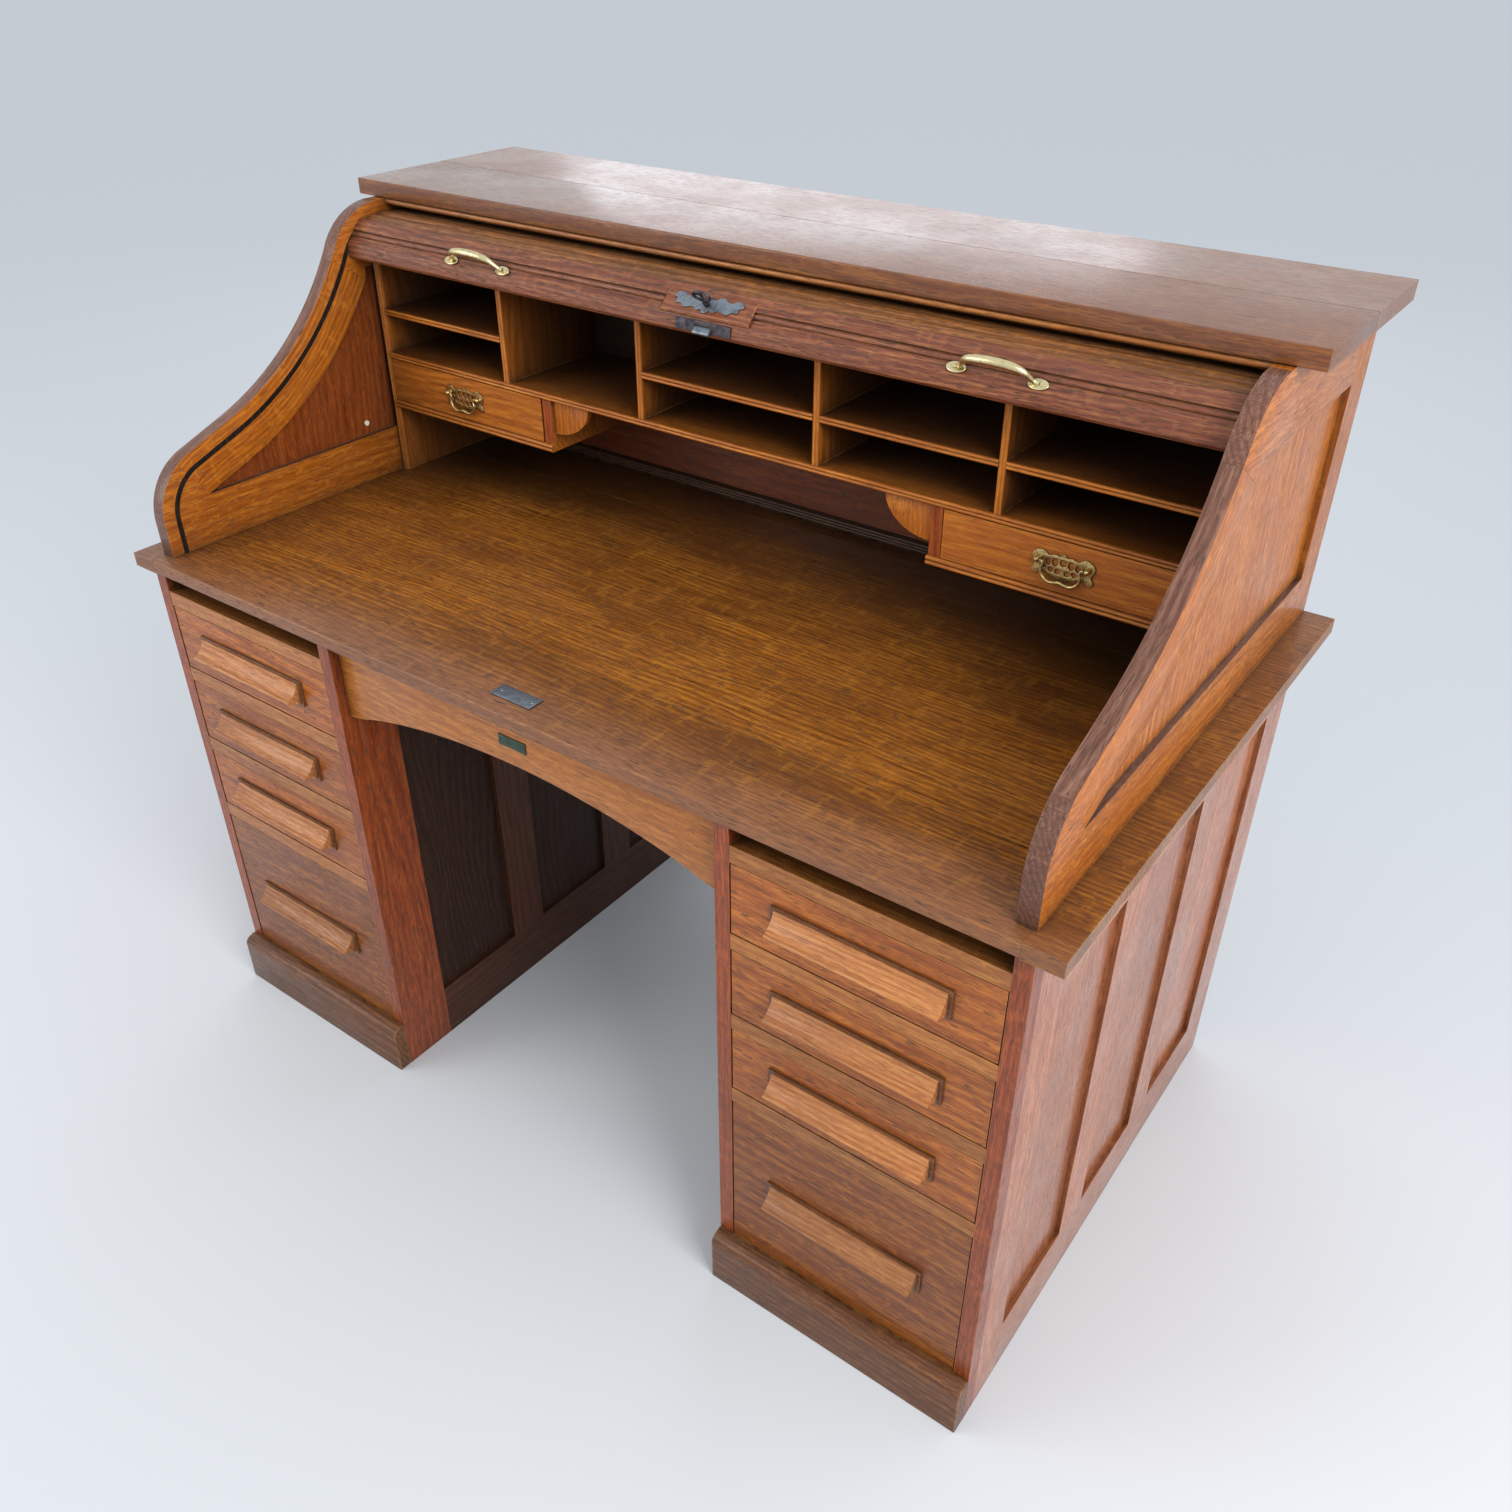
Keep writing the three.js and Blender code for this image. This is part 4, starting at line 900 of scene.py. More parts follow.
maker = Maker("pigeonhole_case_boards", 21)
caseInner = nest["half"] - nest["side"]
front, back = nest["front"], nest["back"]
underTop = nest["top"] - nest["topThick"]
backBoard = (back - nest["backThick"], back)
maker.board((-nest["half"], nest["half"]), (front, back), (underTop, nest["top"]), "paleOak", "x", 0.8)
maker.board((-caseInner, caseInner), backBoard, (927, underTop), "insideShadeOak", "x", 0.2)
for name, sign in sides:
    x = mirrored(sign, caseInner, nest["half"])
    maker.board(x, (front + 4, back), (nest["low"], underTop - 0.1), "paleOak", "z", 0.6)
    beads = ((0, 4.5), (1, 1), (4, 0), (6, 1.2), (8, 0), (11, 1), (12, 4.5))
    section = [(x[0] + across, front + deep) for across, deep in beads]
    maker.prism(section, "z", nest["low"], underTop - 0.1, "paleOak", "z", plank=0.8)
    # housing of the small drawer: floor, back and post, with a rounded bracket beside it
    x = mirrored(sign, nest["post"][0], caseInner - 0.1)
    floorTop, postTop = nest["floor"][1] + 0.1, nest["shelf"][0] - 0.3
    maker.board(x, (front, back), nest["floor"], "paleOak", "x", 0.4)
    maker.prism(beadedNose(*nest["floor"], front - 4.2, 4.4, 2), "x", *x, "paleOak", "x", plank=0.85)
    maker.board(x, backBoard, (floorTop, 932), "insideShadeOak", "x", 0.2)
    x = mirrored(sign, *nest["post"])
    maker.board(x, (front + 2.5, back), (floorTop, postTop), "paleOak", "z", 0.5)
    beads = ((0, 3), (0.8, 1), (4, 0), (6.5, 1.5), (8.5, 0.4), (10.5, 1.5), (13, 0), (16.2, 1), (17, 3))
    section = [(x[0] + across, front + deep) for across, deep in beads]
    maker.prism(section, "z", floorTop, postTop, "frameOak", "z", plank=0.7)
    reach, drop = nest["bracket"]
    root = nest["post"][0] - 0.1
    outline = [(root, postTop)]
    for k in range(19):
        a = math.radians(5 * k)
        outline.append((root - reach * math.cos(a), postTop - drop * math.sin(a)))
    outline = [(sign * across, up) for across, up in outline]
    maker.prism(outline, "y", front + 6, front + 14, "gableOak", "z", bevel=0.5, plank=0.6)
maker.piece("carcass", ["pigeonhole_case", "pigeonhole_nests"])

maker = Maker("pigeonhole_grid_boards", 22)
gridHalf = caseInner - 0.3
gridBack = backBoard[0] - 0.3
maker.board((-gridHalf, gridHalf), (front + 2, gridBack), nest["shelf"], "paleOak", "x", 0.2)
maker.prism(
    beadedNose(*nest["shelf"], front - 2.2, 4.4, 2), "x", -gridHalf, gridHalf, "paleOak", "x", plank=0.9
)
uprights = nest["dividers"]
half = nest["dividerHalf"]
low, high = nest["shelf"][1] + 0.05, underTop - 0.3
for x in uprights:
    maker.board((x - half, x + half), (front + 4, gridBack), (low, high), "paleOak", "z", 0.2)
    beads = ((-4.5, 4.2), (-4.3, 1.5), (-2.3, 0.2), (0, 1.8), (2.3, 0.2), (4.3, 1.5), (4.5, 4.2))
    maker.prism(
        [(x + across, front + deep) for across, deep in beads], "z", low, high, "paleOak", "z", plank=0.9
    )
bays = [
    (-gridHalf, uprights[0]), (uprights[1], uprights[2]), (uprights[2], uprights[3]),
    (uprights[3], gridHalf)
]
for x0, x1 in bays:
    x0 += half + 0.1 if x0 > -gridHalf else 0
    x1 -= half + 0.1 if x1 < gridHalf else 0
    maker.board((x0, x1), (front + 4, gridBack), nest["midShelf"], "paleOak", "x", 0.2)
    maker.prism(beadedNose(*nest["midShelf"], front + 0.2, 4.0, 2), "x", x0, x1, "paleOak", "x", plank=0.9)
maker.piece("carcass", ["pigeonhole_grid"])
print("pigeonholes made")


# small drawers with their plates and bails
def openBox(maker, x, y, z, sizes, faceMaterial, tone=None):
    front, side, bottom, drop = (sizes[key] for key in ("front", "side", "bottom", "drop"))
    long = (y[0] + front, y[1])
    tall = (z[0], z[1] - drop)
    across = (x[0] + side, x[1] - side)
    maker.board(x, (y[0], y[0] + front), z, faceMaterial, "x", 1.0, tone)
    maker.board((x[0], x[0] + side), long, tall, "insideShadeOak", "y", 0.5)
    maker.board((x[1] - side, x[1]), long, tall, "insideShadeOak", "y", 0.5)
    maker.board(across, (y[1] - side, y[1]), tall, "insideShadeOak", "x", 0.5)
    maker.board(across, (y[0] + front, y[1] - side), (z[0], z[0] + bottom), "insideShadeOak", "x", 0.2)


def millimetres(nodeName):
    # a node's box, with y from the desktop's front edge
    low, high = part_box(nodeName)
    shifts = (0, frontOffset * 1000, 0)
    return [(low[k] * 1000 + shifts[k], high[k] * 1000 + shifts[k]) for k in range(3)]


smallBox = {"front": 15, "side": 7, "bottom": 4, "drop": 6}
batWing = {
    "half": [
        (0, 16.5), (4, 12.5), (10, 13.5), (18, 11.5), (24, 15.5), (31, 15), (37.5, 9), (36, 2), (34, -3),
        (37, -9.5), (33, -14), (28, -11), (23, -8), (15, -12), (8, -13.5), (4, -15.5)
    ],
    "holes": [
        (0, 5.5, 4.0, 4.2), (9.6, 4.5, 3.6, 5.2), (18, 3.5, 3.4, 4.4), (5.6, -6, 3.6, 3.4),
        (14, -5, 3.4, 3.4), (22, -2.5, 2.4, 2.4)
    ],
    "post": 30, "bail": 1.75,
}
wing = batWing["half"]
wingOutline = smoothOutline([(x, z) for x, z in wing] + [(-x, z) for x, z in reversed(wing[1:])])
for name, sign in sides:
    drawerNode = "small_drawer_" + name
    x, y, z = millimetres(drawerNode)
    maker = Maker(drawerNode + "_boards", 31 + sign)
    openBox(maker, x, y, z, smallBox, "paleOak")
    maker.piece(drawerNode, [drawerNode])
    px, py, pz = millimetres("backplate_" + name)
    middleX, middleZ = (px[0] + px[1]) / 2, (z[0] + z[1]) / 2
    place = Matrix.Translation(at(middleX, py[1] - 0.8, middleZ)) @ faceForward
    outline = [(a / 1000, b / 1000) for a, b in wingOutline]
    holes = []
    for hx, hz, ra, rb in batWing["holes"]:
        for mirrorSign in ((1, -1) if hx else (1,)):
            holes.append(oval(mirrorSign * hx, hz, ra, rb, 12))
    parts = [flatPlate(outline, holes, 0.0016, 0.0004, place)]
    pivotZ = middleZ + 5
    for end in (-1, 1):
        centre = at(middleX + end * batWing["post"], py[1] - 5.2, pivotZ)
        knob = bmesh.new()
        bmesh.ops.create_uvsphere(knob, u_segments=14, v_segments=8, radius=0.0037)
        bmesh.ops.transform(
            knob, matrix=Matrix.Translation(centre) @ Matrix.Diagonal((1, 1.2, 1, 1)), verts=knob.verts
        )
        parts.append(knob)
        stem = bmesh.new()
        bmesh.ops.create_cone(stem, cap_ends=True, segments=12, radius1=0.0045, radius2=0.0028, depth=0.005)
        foot = Matrix.Translation(at(middleX + end * batWing["post"], py[1] - 3.2, pivotZ))
        bmesh.ops.transform(stem, matrix=foot @ faceForward, verts=stem.verts)
        parts.append(stem)
    joinMeshes("backplate_brass_" + name, parts, "oldBrass", drawerNode, ["backplate_" + name])
    bailY = py[1] - 6.6
    drops = [
        (-26.4, 0), (-23.6, -0.2), (-22.4, -4), (-23.6, -10), (-21.5, -17), (-15, -22), (-8, -22.6),
        (0, -21)
    ]
    drops += [(-dx, dz) for dx, dz in reversed(drops[:-1])]
    path = smoothPath([at(middleX + dx, bailY, pivotZ + dz) for dx, dz in drops], 5)
    bar = roundBar(
        path, batWing["bail"] / 1000, Vector((0, 1, 0)), 10,
        lambda t: 0.8 + 0.35 * math.sin(math.pi * t) ** 2
    )
    joinMeshes("bail_brass_" + name, [bar], "oldBrass", "bail_" + name, ["bail_" + name])
print("small drawers made")

# pedestals
pedestal = {
    "inner": 304, "outer": 667, "front": 8, "back": 766, "post": 20, "postDeep": 24, "top": 742.7,
    "railTops": (715, 595, 475, 355, 82), "rail": 22, "panelTop": 650, "panelBottom": 90, "panelFront": 92,
    "panelBack": 694, "muntin": 65, "sunk": 7, "runner": 12
}
plinth = {"high": 82, "reach": 20}
pedestalBack = {"stile": 65, "sunk": 5}
drawerBox = {"front": 20, "side": 10, "bottom": 6, "drop": 8, "tones": (0.7, 0.55, 0.6, 0.05)}
pull = {"wide": 204, "high": 31, "reach": 22, "lip": 9, "plate": (214, 38, 3), "tones": (0.9, 0.6, 0.7, 0.15)}


def panelledSide(nodeName, sign, near, far, sunkOut, materialName, panelMaterial):
    maker = Maker(nodeName + "_boards", 41 + sign * (2 if sunkOut > 0 else 3))
    x0, x1 = mirrored(sign, near, far)
    start, stop = pedestal["panelFront"], pedestal["panelBack"]
    wide = (stop - start - 2 * pedestal["muntin"]) / 3
    frontY, backY = pedestal["front"] + pedestal["postDeep"] + 0.3, pedestal["back"]
    low, high = pedestal["panelBottom"], pedestal["panelTop"]
    # on the kneehole side the front stile keeps the frame colour, seen lit, while the rest take the
    # painted-shade knee colours
    maker.board(
        (x0, x1), (frontY, start), (0, pedestal["top"]), "frameOak" if sunkOut < 0 else materialName, "z",
        0.6
    )
    maker.board((x0, x1), (stop, backY), (0, pedestal["top"]), materialName, "z", 0.6)
    maker.board((x0, x1), (start + 0.15, stop - 0.15), (high, pedestal["top"]), materialName, "y", 0.6)
    maker.board((x0, x1), (start + 0.15, stop - 0.15), (0, low), materialName, "y", 0.6)
    deep = (near, far - pedestal["sunk"]) if sunkOut > 0 else (near + pedestal["sunk"], far)
    px = mirrored(sign, *deep)
    for k in range(3):
        y0 = start + k * (wide + pedestal["muntin"])
        maker.board(px, (y0 - 3, y0 + wide + 3), (low - 3, high + 3), panelMaterial, "z", 0.2)
        if k < 2:
            maker.board(
                (x0, x1), (y0 + wide, y0 + wide + pedestal["muntin"]), (low + 0.15, high - 0.15),
                materialName, "z", 0.6
            )
    maker.piece("carcass", [nodeName])


def pullSection(faceY, low):
    rootY = faceY - 0.3
    plateY = rootY - pull["plate"][2]
    tipY = pedestal["front"] - pull["reach"]
    high = low + pull["high"]
    section = [(rootY - 1, low), (rootY - 1, high), (plateY - 1.2, high)]
    for k in range(5):
        a = math.radians(90 - 22.5 * k)
        section.append((plateY - 1.4 - 1.2 * math.cos(a), high - 1.4 + 1.2 * math.sin(a)))
    startY, startZ = plateY - 2.6, high - 3
    endY, endZ = tipY + 2.5, low + pull["lip"] + 2.2
    for k in range(1, 12):
        a = math.radians(90 * k / 12)
        even = k / 12
        section.append((startY + (endY - startY) * (0.55 * even + 0.45 * (1 - math.cos(a))),
                        startZ + (endZ - startZ) * (0.55 * even + 0.45 * math.sin(a))))
    for k in range(9):
        a = math.radians(90 + 22.5 * k)
        section.append((tipY + 2.2 + 2.2 * math.cos(a), low + pull["lip"] + 2.2 * math.sin(a)))
    section += [(tipY + 5, low + 6.5), (plateY - 6, low + 6.0), (plateY - 4.2, low)]
    return section


for name, sign in sides:
    slotIn, slotOut = pedestal["inner"] + pedestal["post"], pedestal["outer"] - pedestal["post"]
    panelledSide("outer_side_" + name, sign, slotOut + 0.3, pedestal["outer"], 1, "sideOak", "sideOak")
    panelledSide("inner_side_" + name, sign, pedestal["inner"], slotIn, -1, "kneeShadeOak", "kneePanelShadeOak")
    maker = Maker("face_frame_boards_" + name, 51 + sign)
    front, back = pedestal["front"], pedestal["front"] + pedestal["postDeep"]
    maker.board(
        mirrored(sign, pedestal["inner"], slotIn), (front, back), (0, pedestal["top"]), "frameOak", "z", 0.9
    )
    maker.board(
        mirrored(sign, slotOut, pedestal["outer"]), (front, back), (0, pedestal["top"]), "frameOak", "z",
        0.9
    )
    for topZ in pedestal["railTops"]:
        z = (topZ - pedestal["rail"], topZ)
        maker.board(mirrored(sign, slotIn + 0.1, slotOut - 0.1), (front + 0.4, back), z, "railOak", "x", 0.7)
        for near in (slotIn + 0.3, slotOut - 0.3 - pedestal["runner"]):
            maker.board(
                mirrored(sign, near, near + pedestal["runner"]), (back + 0.1, 753.7), z, "insideShadeOak", "y",
                0.4
            )
    maker.board(
        mirrored(sign, slotIn + 13, slotOut - 13), (back + 0.1, 753.7), (709, 715), "dustOak", "x", 0.2
    )
    for near in (slotIn + 0.4, slotOut - 16.4):
        maker.board(
            mirrored(sign, near, near + 16), (back + 2, back + 40), (715.1, 742.6), "insideShadeOak", "y", 0.6
        )
    maker.piece("carcass", ["face_frame_" + name])
    # plinth: a front board with a rounded top edge
    maker = Maker("plinth_boards_" + name, 61 + sign)
    frontY = pedestal["front"] - plinth["reach"]
    section = [(frontY + 0.8, 0), (pedestal["front"] - 0.3, 0), (pedestal["front"] - 0.3, plinth["high"])]
    for k in range(9):
        a = math.radians(90 - 11.25 * k)
        lift = 1 if k == 0 else 0
        section.append(
            (pedestal["front"] - 6 - 14 * math.cos(a), plinth["high"] - 13 + 12 * math.sin(a) + lift)
        )
    section.append((frontY, 0.8))
    ends = mirrored(sign, pedestal["inner"], pedestal["outer"])
    maker.prism(section, "x", *ends, "plinthOak", "x", plank=0.5, bevel=0.8, sharper=1.1)
    maker.piece("carcass", ["plinth_" + name])
    # back of the pedestal
    maker = Maker("pedestal_back_boards_" + name, 71 + sign)
    x, y, z = millimetres("pedestal_back_" + name)
    stile = pedestalBack["stile"]
    low, high = pedestal["panelBottom"], pedestal["panelTop"]
    for x0, x1 in ((x[0], x[0] + stile), (x[1] - stile, x[1])):
        maker.board((x0, x1), y, z, "darkOak", "z", 0.6)
    across = (x[0] + stile + 0.2, x[1] - stile - 0.2)
    maker.board(across, y, (0, low), "darkOak", "x", 0.6)
    maker.board(across, y, (high, z[1]), "darkOak", "x", 0.6)
    panelX = (x[0] + stile - 3, x[1] - stile + 3)
    maker.board(panelX, (y[0], y[1] - pedestalBack["sunk"]), (low - 3, high + 3), "darkOak", "z", 0.3)
    maker.piece("carcass", ["pedestal_back_" + name])
    # drawers and pulls
    for number in range(1, 5):
        nodeName = f"drawer_{name}_{number}"
        x, y, z = millimetres(nodeName)
        maker = Maker(nodeName + "_boards", 80 + 4 * sign + number)
        openBox(maker, x, y, z, drawerBox, "drawerOak", drawerBox["tones"][number - 1])
        maker.piece(nodeName, [nodeName])
        px, py, pz = millimetres(f"pull_{name}_{number}")
        maker = Maker(f"pull_wood_{name}_{number}", 90 + 4 * sign + number)
        low = (pz[0] + pz[1]) / 2 - pull["high"] / 2
        middle = (px[0] + px[1]) / 2
        maker.prism(
            pullSection(y[0], low), "x", middle - pull["wide"] / 2, middle + pull["wide"] / 2, "pullOak",
            "x", bevel=0.9, plank=pull["tones"][number - 1], sharper=1.25
        )
        plateY = y[0] - 0.3
        maker.board(px, (plateY - pull["plate"][2], plateY), pz, "plateOak", "x", 1.0, 0.5)
        maker.piece(nodeName, [f"pull_{name}_{number}"])
print("pedestals made")

# apron and plates
apron = {"half": 303.7, "front": 22, "back": 42, "end": 630, "middle": 675, "top": 742.7}
maker = Maker("apron_board", 101)
outline = [(-apron["half"], apron["end"])]
run = apron["half"] - 18
for k in range(1, 48):
    across = -1 + k / 24
    rise = (apron["middle"] - apron["end"]) * math.cos(across * math.pi / 2) ** 0.7
    outline.append((across * run, apron["end"] + rise))
outline += [(apron["half"], apron["end"]), (apron["half"], apron["top"]), (-apron["half"], apron["top"])]
maker.prism(outline, "y", apron["front"], apron["back"], "apronOak", "x", bevel=0.8, plank=0.6, sharper=0.7)
maker.piece("carcass", ["apron"])

x, y, z = millimetres("badge_plate")
middleX, middleZ = (x[0] + x[1]) / 2, (z[0] + z[1]) / 2
halfX, halfZ = (x[1] - x[0]) / 2000, (z[1] - z[0]) / 2000
place = Matrix.Translation(at(middleX, (y[0] + y[1]) / 2, middleZ)) @ faceForward
corners = [
    (-halfX, -halfZ), (0, 0.0006 - halfZ), (halfX, -halfZ), (halfX, halfZ), (0, halfZ - 0.0006),
    (-halfX, halfZ)
]
badge = flatPlate(corners, [], 0.0012, 0.0003, place)
studs = [screwHead(at(middleX + s * 18.5, y[0], middleZ), Vector((0, -1, 0)), 0.0012) for s in (-1, 1)]
joinMeshes("badge_enamel", [badge, *studs], "badge", "carcass", ["badge_plate"])

x, y, z = millimetres("strike_plate")
halfX, halfY = (x[1] - x[0]) / 2000, (y[1] - y[0]) / 2000
place = Matrix.Translation(at(0, (y[0] + y[1]) / 2, (z[0] + z[1]) / 2))
corners = [(-halfX, -halfY), (halfX, -halfY), (halfX, halfY), (-halfX, halfY)]
strike = flatPlate(corners, [], 0.0016, 0.0004, place)
screws = [screwHead(at(s * 24, (y[0] + y[1]) / 2, z[1] + 0.1), Vector((0, 0, 1)), 0.0032) for s in (-1, 1)]
joinMeshes("strike_iron", [strike, *screws], "steel", "carcass", ["strike_plate"])
gablePlug = screwHead(at(-644.9, 382, 847), Vector((1, 0, 0)), 0.0045, 0.0012)
joinMeshes("gable_plug", [gablePlug], "plug", "carcass")
print("apron and plates made")

# lock rail and its fittings
lockRail = {
    "at": -56, "half": 636.2, "tall": 26, "face": 5.0, "lowFace": 1.5, "back": 15, "bevel": 11.5,
    "block": 66, "proud": 2.0, "handle": 382, "span": 92, "rise": 26, "rod": 4.2, "keyAt": 1.5
}
railY, railZ, railTilt = track(lockRail["at"])
railUp = Vector((0, math.cos(railTilt), math.sin(railTilt)))
railOut = Vector((0, -math.sin(railTilt), math.cos(railTilt)))


def onRail(x, along, out):
    return at(x, railY, railZ) + railUp * (along / 1000) + railOut * (out / 1000)


def railSection(pairs):
    placed = []
    for along, out in pairs:
        place = railUp * along + railOut * out
        placed.append((railY + place.y, railZ + place.z))
    return placed


tall, face, lowFace = lockRail["tall"], lockRail["face"], lockRail["lowFace"]
moulding = [
    (-tall, -lockRail["back"]), (tall, -lockRail["back"]), (tall, face - 0.2), (tall - 0.9, face + 0.5),
    (7.4, face + 0.5), (6.8, face), (6.6, 2.2), (5.2, 2.0), (4.8, 3.4), (3.8, 4.0), (2.4, 3.9), (1.0, 3.2),
    (-0.2, 2.0), (-0.6, 0.2), (-1.9, 0.2), (-2.3, lowFace - 0.3), (-2.8, lowFace), (-13.8, lowFace),
    (-14.6, lowFace - 0.6), (-25.6, -9.4), (-tall, -10.2)
]
maker = Maker("lock_rail_wood", 111)
maker.prism(
    railSection(moulding), "x", -lockRail["half"], lockRail["half"], "plumOak", "x", plank=0.6,
    placeOf=lambda co: Vector(
        (co.x, co.y * railUp.y + co.z * railUp.z, co.y * railOut.y + co.z * railOut.z)
    )
)
maker.piece("lock_rail", ["lock_rail"], 14)

maker = Maker("lock_block_wood", 112)
proud = face + lockRail["proud"]
block = [
    (-14.2, lowFace + 0.3), (-1, lowFace + 0.3), (2.4, face - 1.1), (5, face + 0.3), (19.6, face + 0.3),
    (18, proud - 0.3), (17.4, proud), (-11.6, proud), (-12.6, proud - 0.5), (-14.2, proud - 2.4)
]
inset = 3.2
rings = []
for x, shrink in (
    (-lockRail["block"], 1), (-lockRail["block"] + inset, 0), (lockRail["block"] - inset, 0),
    (lockRail["block"], 1)
):
    ring = []
    for along, out in block:
        level = lowFace + 0.3 if along < 0 else face + 0.3
        height = max(level, out - (2.6 if shrink else 0)) if out > level else out
        ring.append(maker.mesh.verts.new(onRail(x, along, height)))
    rings.append(ring)
blockFaces = [maker.mesh.faces.new(rings[0]), maker.mesh.faces.new(rings[-1])]
for first, second in zip(rings, rings[1:]):
    for k in range(len(block)):
        blockFaces.append(
            maker.mesh.faces.new(
                [first[k], first[(k + 1) % len(block)], second[(k + 1) % len(block)], second[k]]
            )
        )
bmesh.ops.remove_doubles(maker.mesh, verts=maker.mesh.verts, dist=1e-7)
bmesh.ops.recalc_face_normals(maker.mesh, faces=maker.mesh.faces)
maker.finish(list(maker.mesh.verts), "plumOak", "x", 0.8)
maker.piece("lock_rail", (), 20)

shield = {
    "half": [
        (0, 12), (4, 7.5), (10, 8.5), (15, 12), (21, 12), (27, 8.5), (33, 8), (40, 11.5), (47, 10.5),
        (51, 4.5), (45, 2), (46, -3.5), (38, -4), (33, -8), (25, -7), (18, -5.5), (12, -9), (6, -7),
        (3, -11)
    ],
    "thick": 1.2, "keyHole": 3.4,
}
outline = smoothOutline([(a / 1000, b / 1000) for a, b in shield["half"]]
                        + [(-a / 1000, b / 1000) for a, b in reversed(shield["half"][1:])])
basis = Matrix((
    (1, railUp.x, railOut.x, 0), (0, railUp.y, railOut.y, 0), (0, railUp.z, railOut.z, 0), (0, 0, 0, 1)))


def railPlace(x, along, out):
    return Matrix.Translation(onRail(x, along, out)) @ basis


keyHole = oval(0, 0, shield["keyHole"], shield["keyHole"], 12)
plate = flatPlate(
    outline, [keyHole], shield["thick"] / 1000, 0.0003, railPlace(0, lockRail["keyAt"], proud + 0.9)
)
joinMeshes("escutcheon_metal", [plate], "steel", "lock_rail", ["escutcheon"])

# key: a shank, a collar and an oval bow pierced in the middle
key = {
    "shank": 2.6, "shankFrom": -2.8, "shankTo": 16, "collar": 3.6, "collarAt": (11, 12, 13.5, 14.5),
    "bow": (14, 9), "bowAt": 24, "thick": 3.2, "eye": (4.4, 5.6), "eyeAt": 5.6
}
east = Vector((1, 0, 0))
shankAt = (key["shankFrom"], 6, 12, key["shankTo"])
shank = roundBar([onRail(0, lockRail["keyAt"], out) for out in shankAt], key["shank"] / 1000, east, 14)
collar = roundBar(
    [onRail(0, lockRail["keyAt"], out) for out in key["collarAt"]], key["collar"] / 1000, east, 14
)
bowBasis = Matrix((
    (1, railOut.x, -railUp.x, 0), (0, railOut.y, -railUp.y, 0), (0, railOut.z, -railUp.z, 0), (0, 0, 0, 1)))
eyes = [oval(across, 0.4, *key["eye"], 15) for across in (-key["eyeAt"], key["eyeAt"])]
bowPlace = Matrix.Translation(onRail(0, lockRail["keyAt"], key["bowAt"])) @ bowBasis
bow = flatPlate(oval(0, 0, *key["bow"], 30), eyes, key["thick"] / 1000, 0.001, bowPlace)
joinMeshes("key_iron", [shank, collar, bow], "iron", "key", ["key"])

lockPlate = {"half": 41, "slot": 12.5, "low": 1, "slotTop": 9.5, "high": 14, "thick": (0.2, 1.6)}
maker = Maker("lock_plate_iron", 113)
bevelRise = math.atan2(lockRail["bevel"], lockRail["bevel"] - 0.5)


def onBevel(along, out):
    # a distance up the rail's bottom bevel, and out of it
    return (
        -tall + along * math.cos(bevelRise) - out * math.sin(bevelRise),
        -10 + along * math.sin(bevelRise) + out * math.cos(bevelRise)
    )


half, slot = lockPlate["half"], lockPlate["slot"]
under, over = lockPlate["thick"]
for x0, x1, low in (
    (-half, -slot, lockPlate["low"]), (slot, half, lockPlate["low"]),
    (0.1 - slot, slot - 0.1, lockPlate["slotTop"])
):
    high = lockPlate["high"]
    section = [onBevel(low, under), onBevel(high, under), onBevel(high, over), onBevel(low, over)]
    maker.prism(railSection(section), "x", x0, x1, "iron", "x", bevel=0.3, plank=0.5)
maker.piece("lock_rail", ["lock_plate"])
maker = Maker("lock_bolt_steel", 114)
maker.prism(
    railSection([(-30, -8.6), (-29, -9), (-11, -9), (-11, -4), (-28.5, -4), (-30, -5)]), "x", -12, 12,
    "steel", "x", bevel=0.5, plank=0.5
)
maker.piece("lock_bolt", ["lock_bolt"])

for name, sign in sides:
    middle = sign * lockRail["handle"]
    along = -7.5
    seat = lowFace + 0.3
    reach = lockRail["span"] / 2
    high = lockRail["rise"]
    bowPath = [
        (-reach - 2, 2.4), (-reach + 3, 5), (-reach + 7, 11), (-reach + 13, high - 7),
        (-reach + 24, high - 2), (0, high)
    ]
    bowPath += [(-a, b) for a, b in reversed(bowPath[:-1])]
    path = smoothPath([onRail(middle + a, along, seat + b) for a, b in bowPath], 6)
    bar = roundBar(
        path, lockRail["rod"] / 1000, railUp, 14, lambda t: 0.72 + 0.5 * math.sin(math.pi * t) ** 3
    )
    parts = [bar]
    for end in (-1, 1):
        foot = oval(0, 0, 11.8, 6.8, 24)
        centreX = middle + end * (reach + 1.5)
        parts.append(flatPlate(foot, [], 0.0024, 0.0009, railPlace(centreX, along, seat + 1.2)))
        parts.append(screwHead(onRail(centreX + end * 4.2, along, seat + 2.5), railOut, 0.0027))
    joinMeshes("handle_brass_" + name, parts, "brass", "lock_rail", ["handle_" + name])
print("lock rail made")

# slats, by Geometry Nodes
slats = {
    "pitch": 22, "half": 636.2, "reach": 10.6, "back": 9.6, "crown": 5.7, "under": 4, "start": -28,
    "runs": (
        ("slat_1", 1, 1), ("slat_2", 2, 2), ("slat_3", 3, 3), ("slat_4", 4, 4), ("slat_5", 5, 5),
        ("slat_run_a", 6, 8), ("slat_run_b", 9, 20), ("slat_run_c", 21, 24), ("slat_run_d", 25, 27)
    )
}
slatSection = [
    (-slats["back"], -slats["under"]), (slats["back"], -slats["under"]), (slats["reach"], -1.0),
    (slats["reach"], 1.0)
]
for k in range(1, 12):
    a = math.radians(15 * k)
    slatSection.append((9.9 * math.cos(a), 1.0 + (slats["crown"] - 1.0) * math.sin(a) ** 0.8))
slatSection += [(-slats["reach"], 1.0), (-slats["reach"], -1.0)]


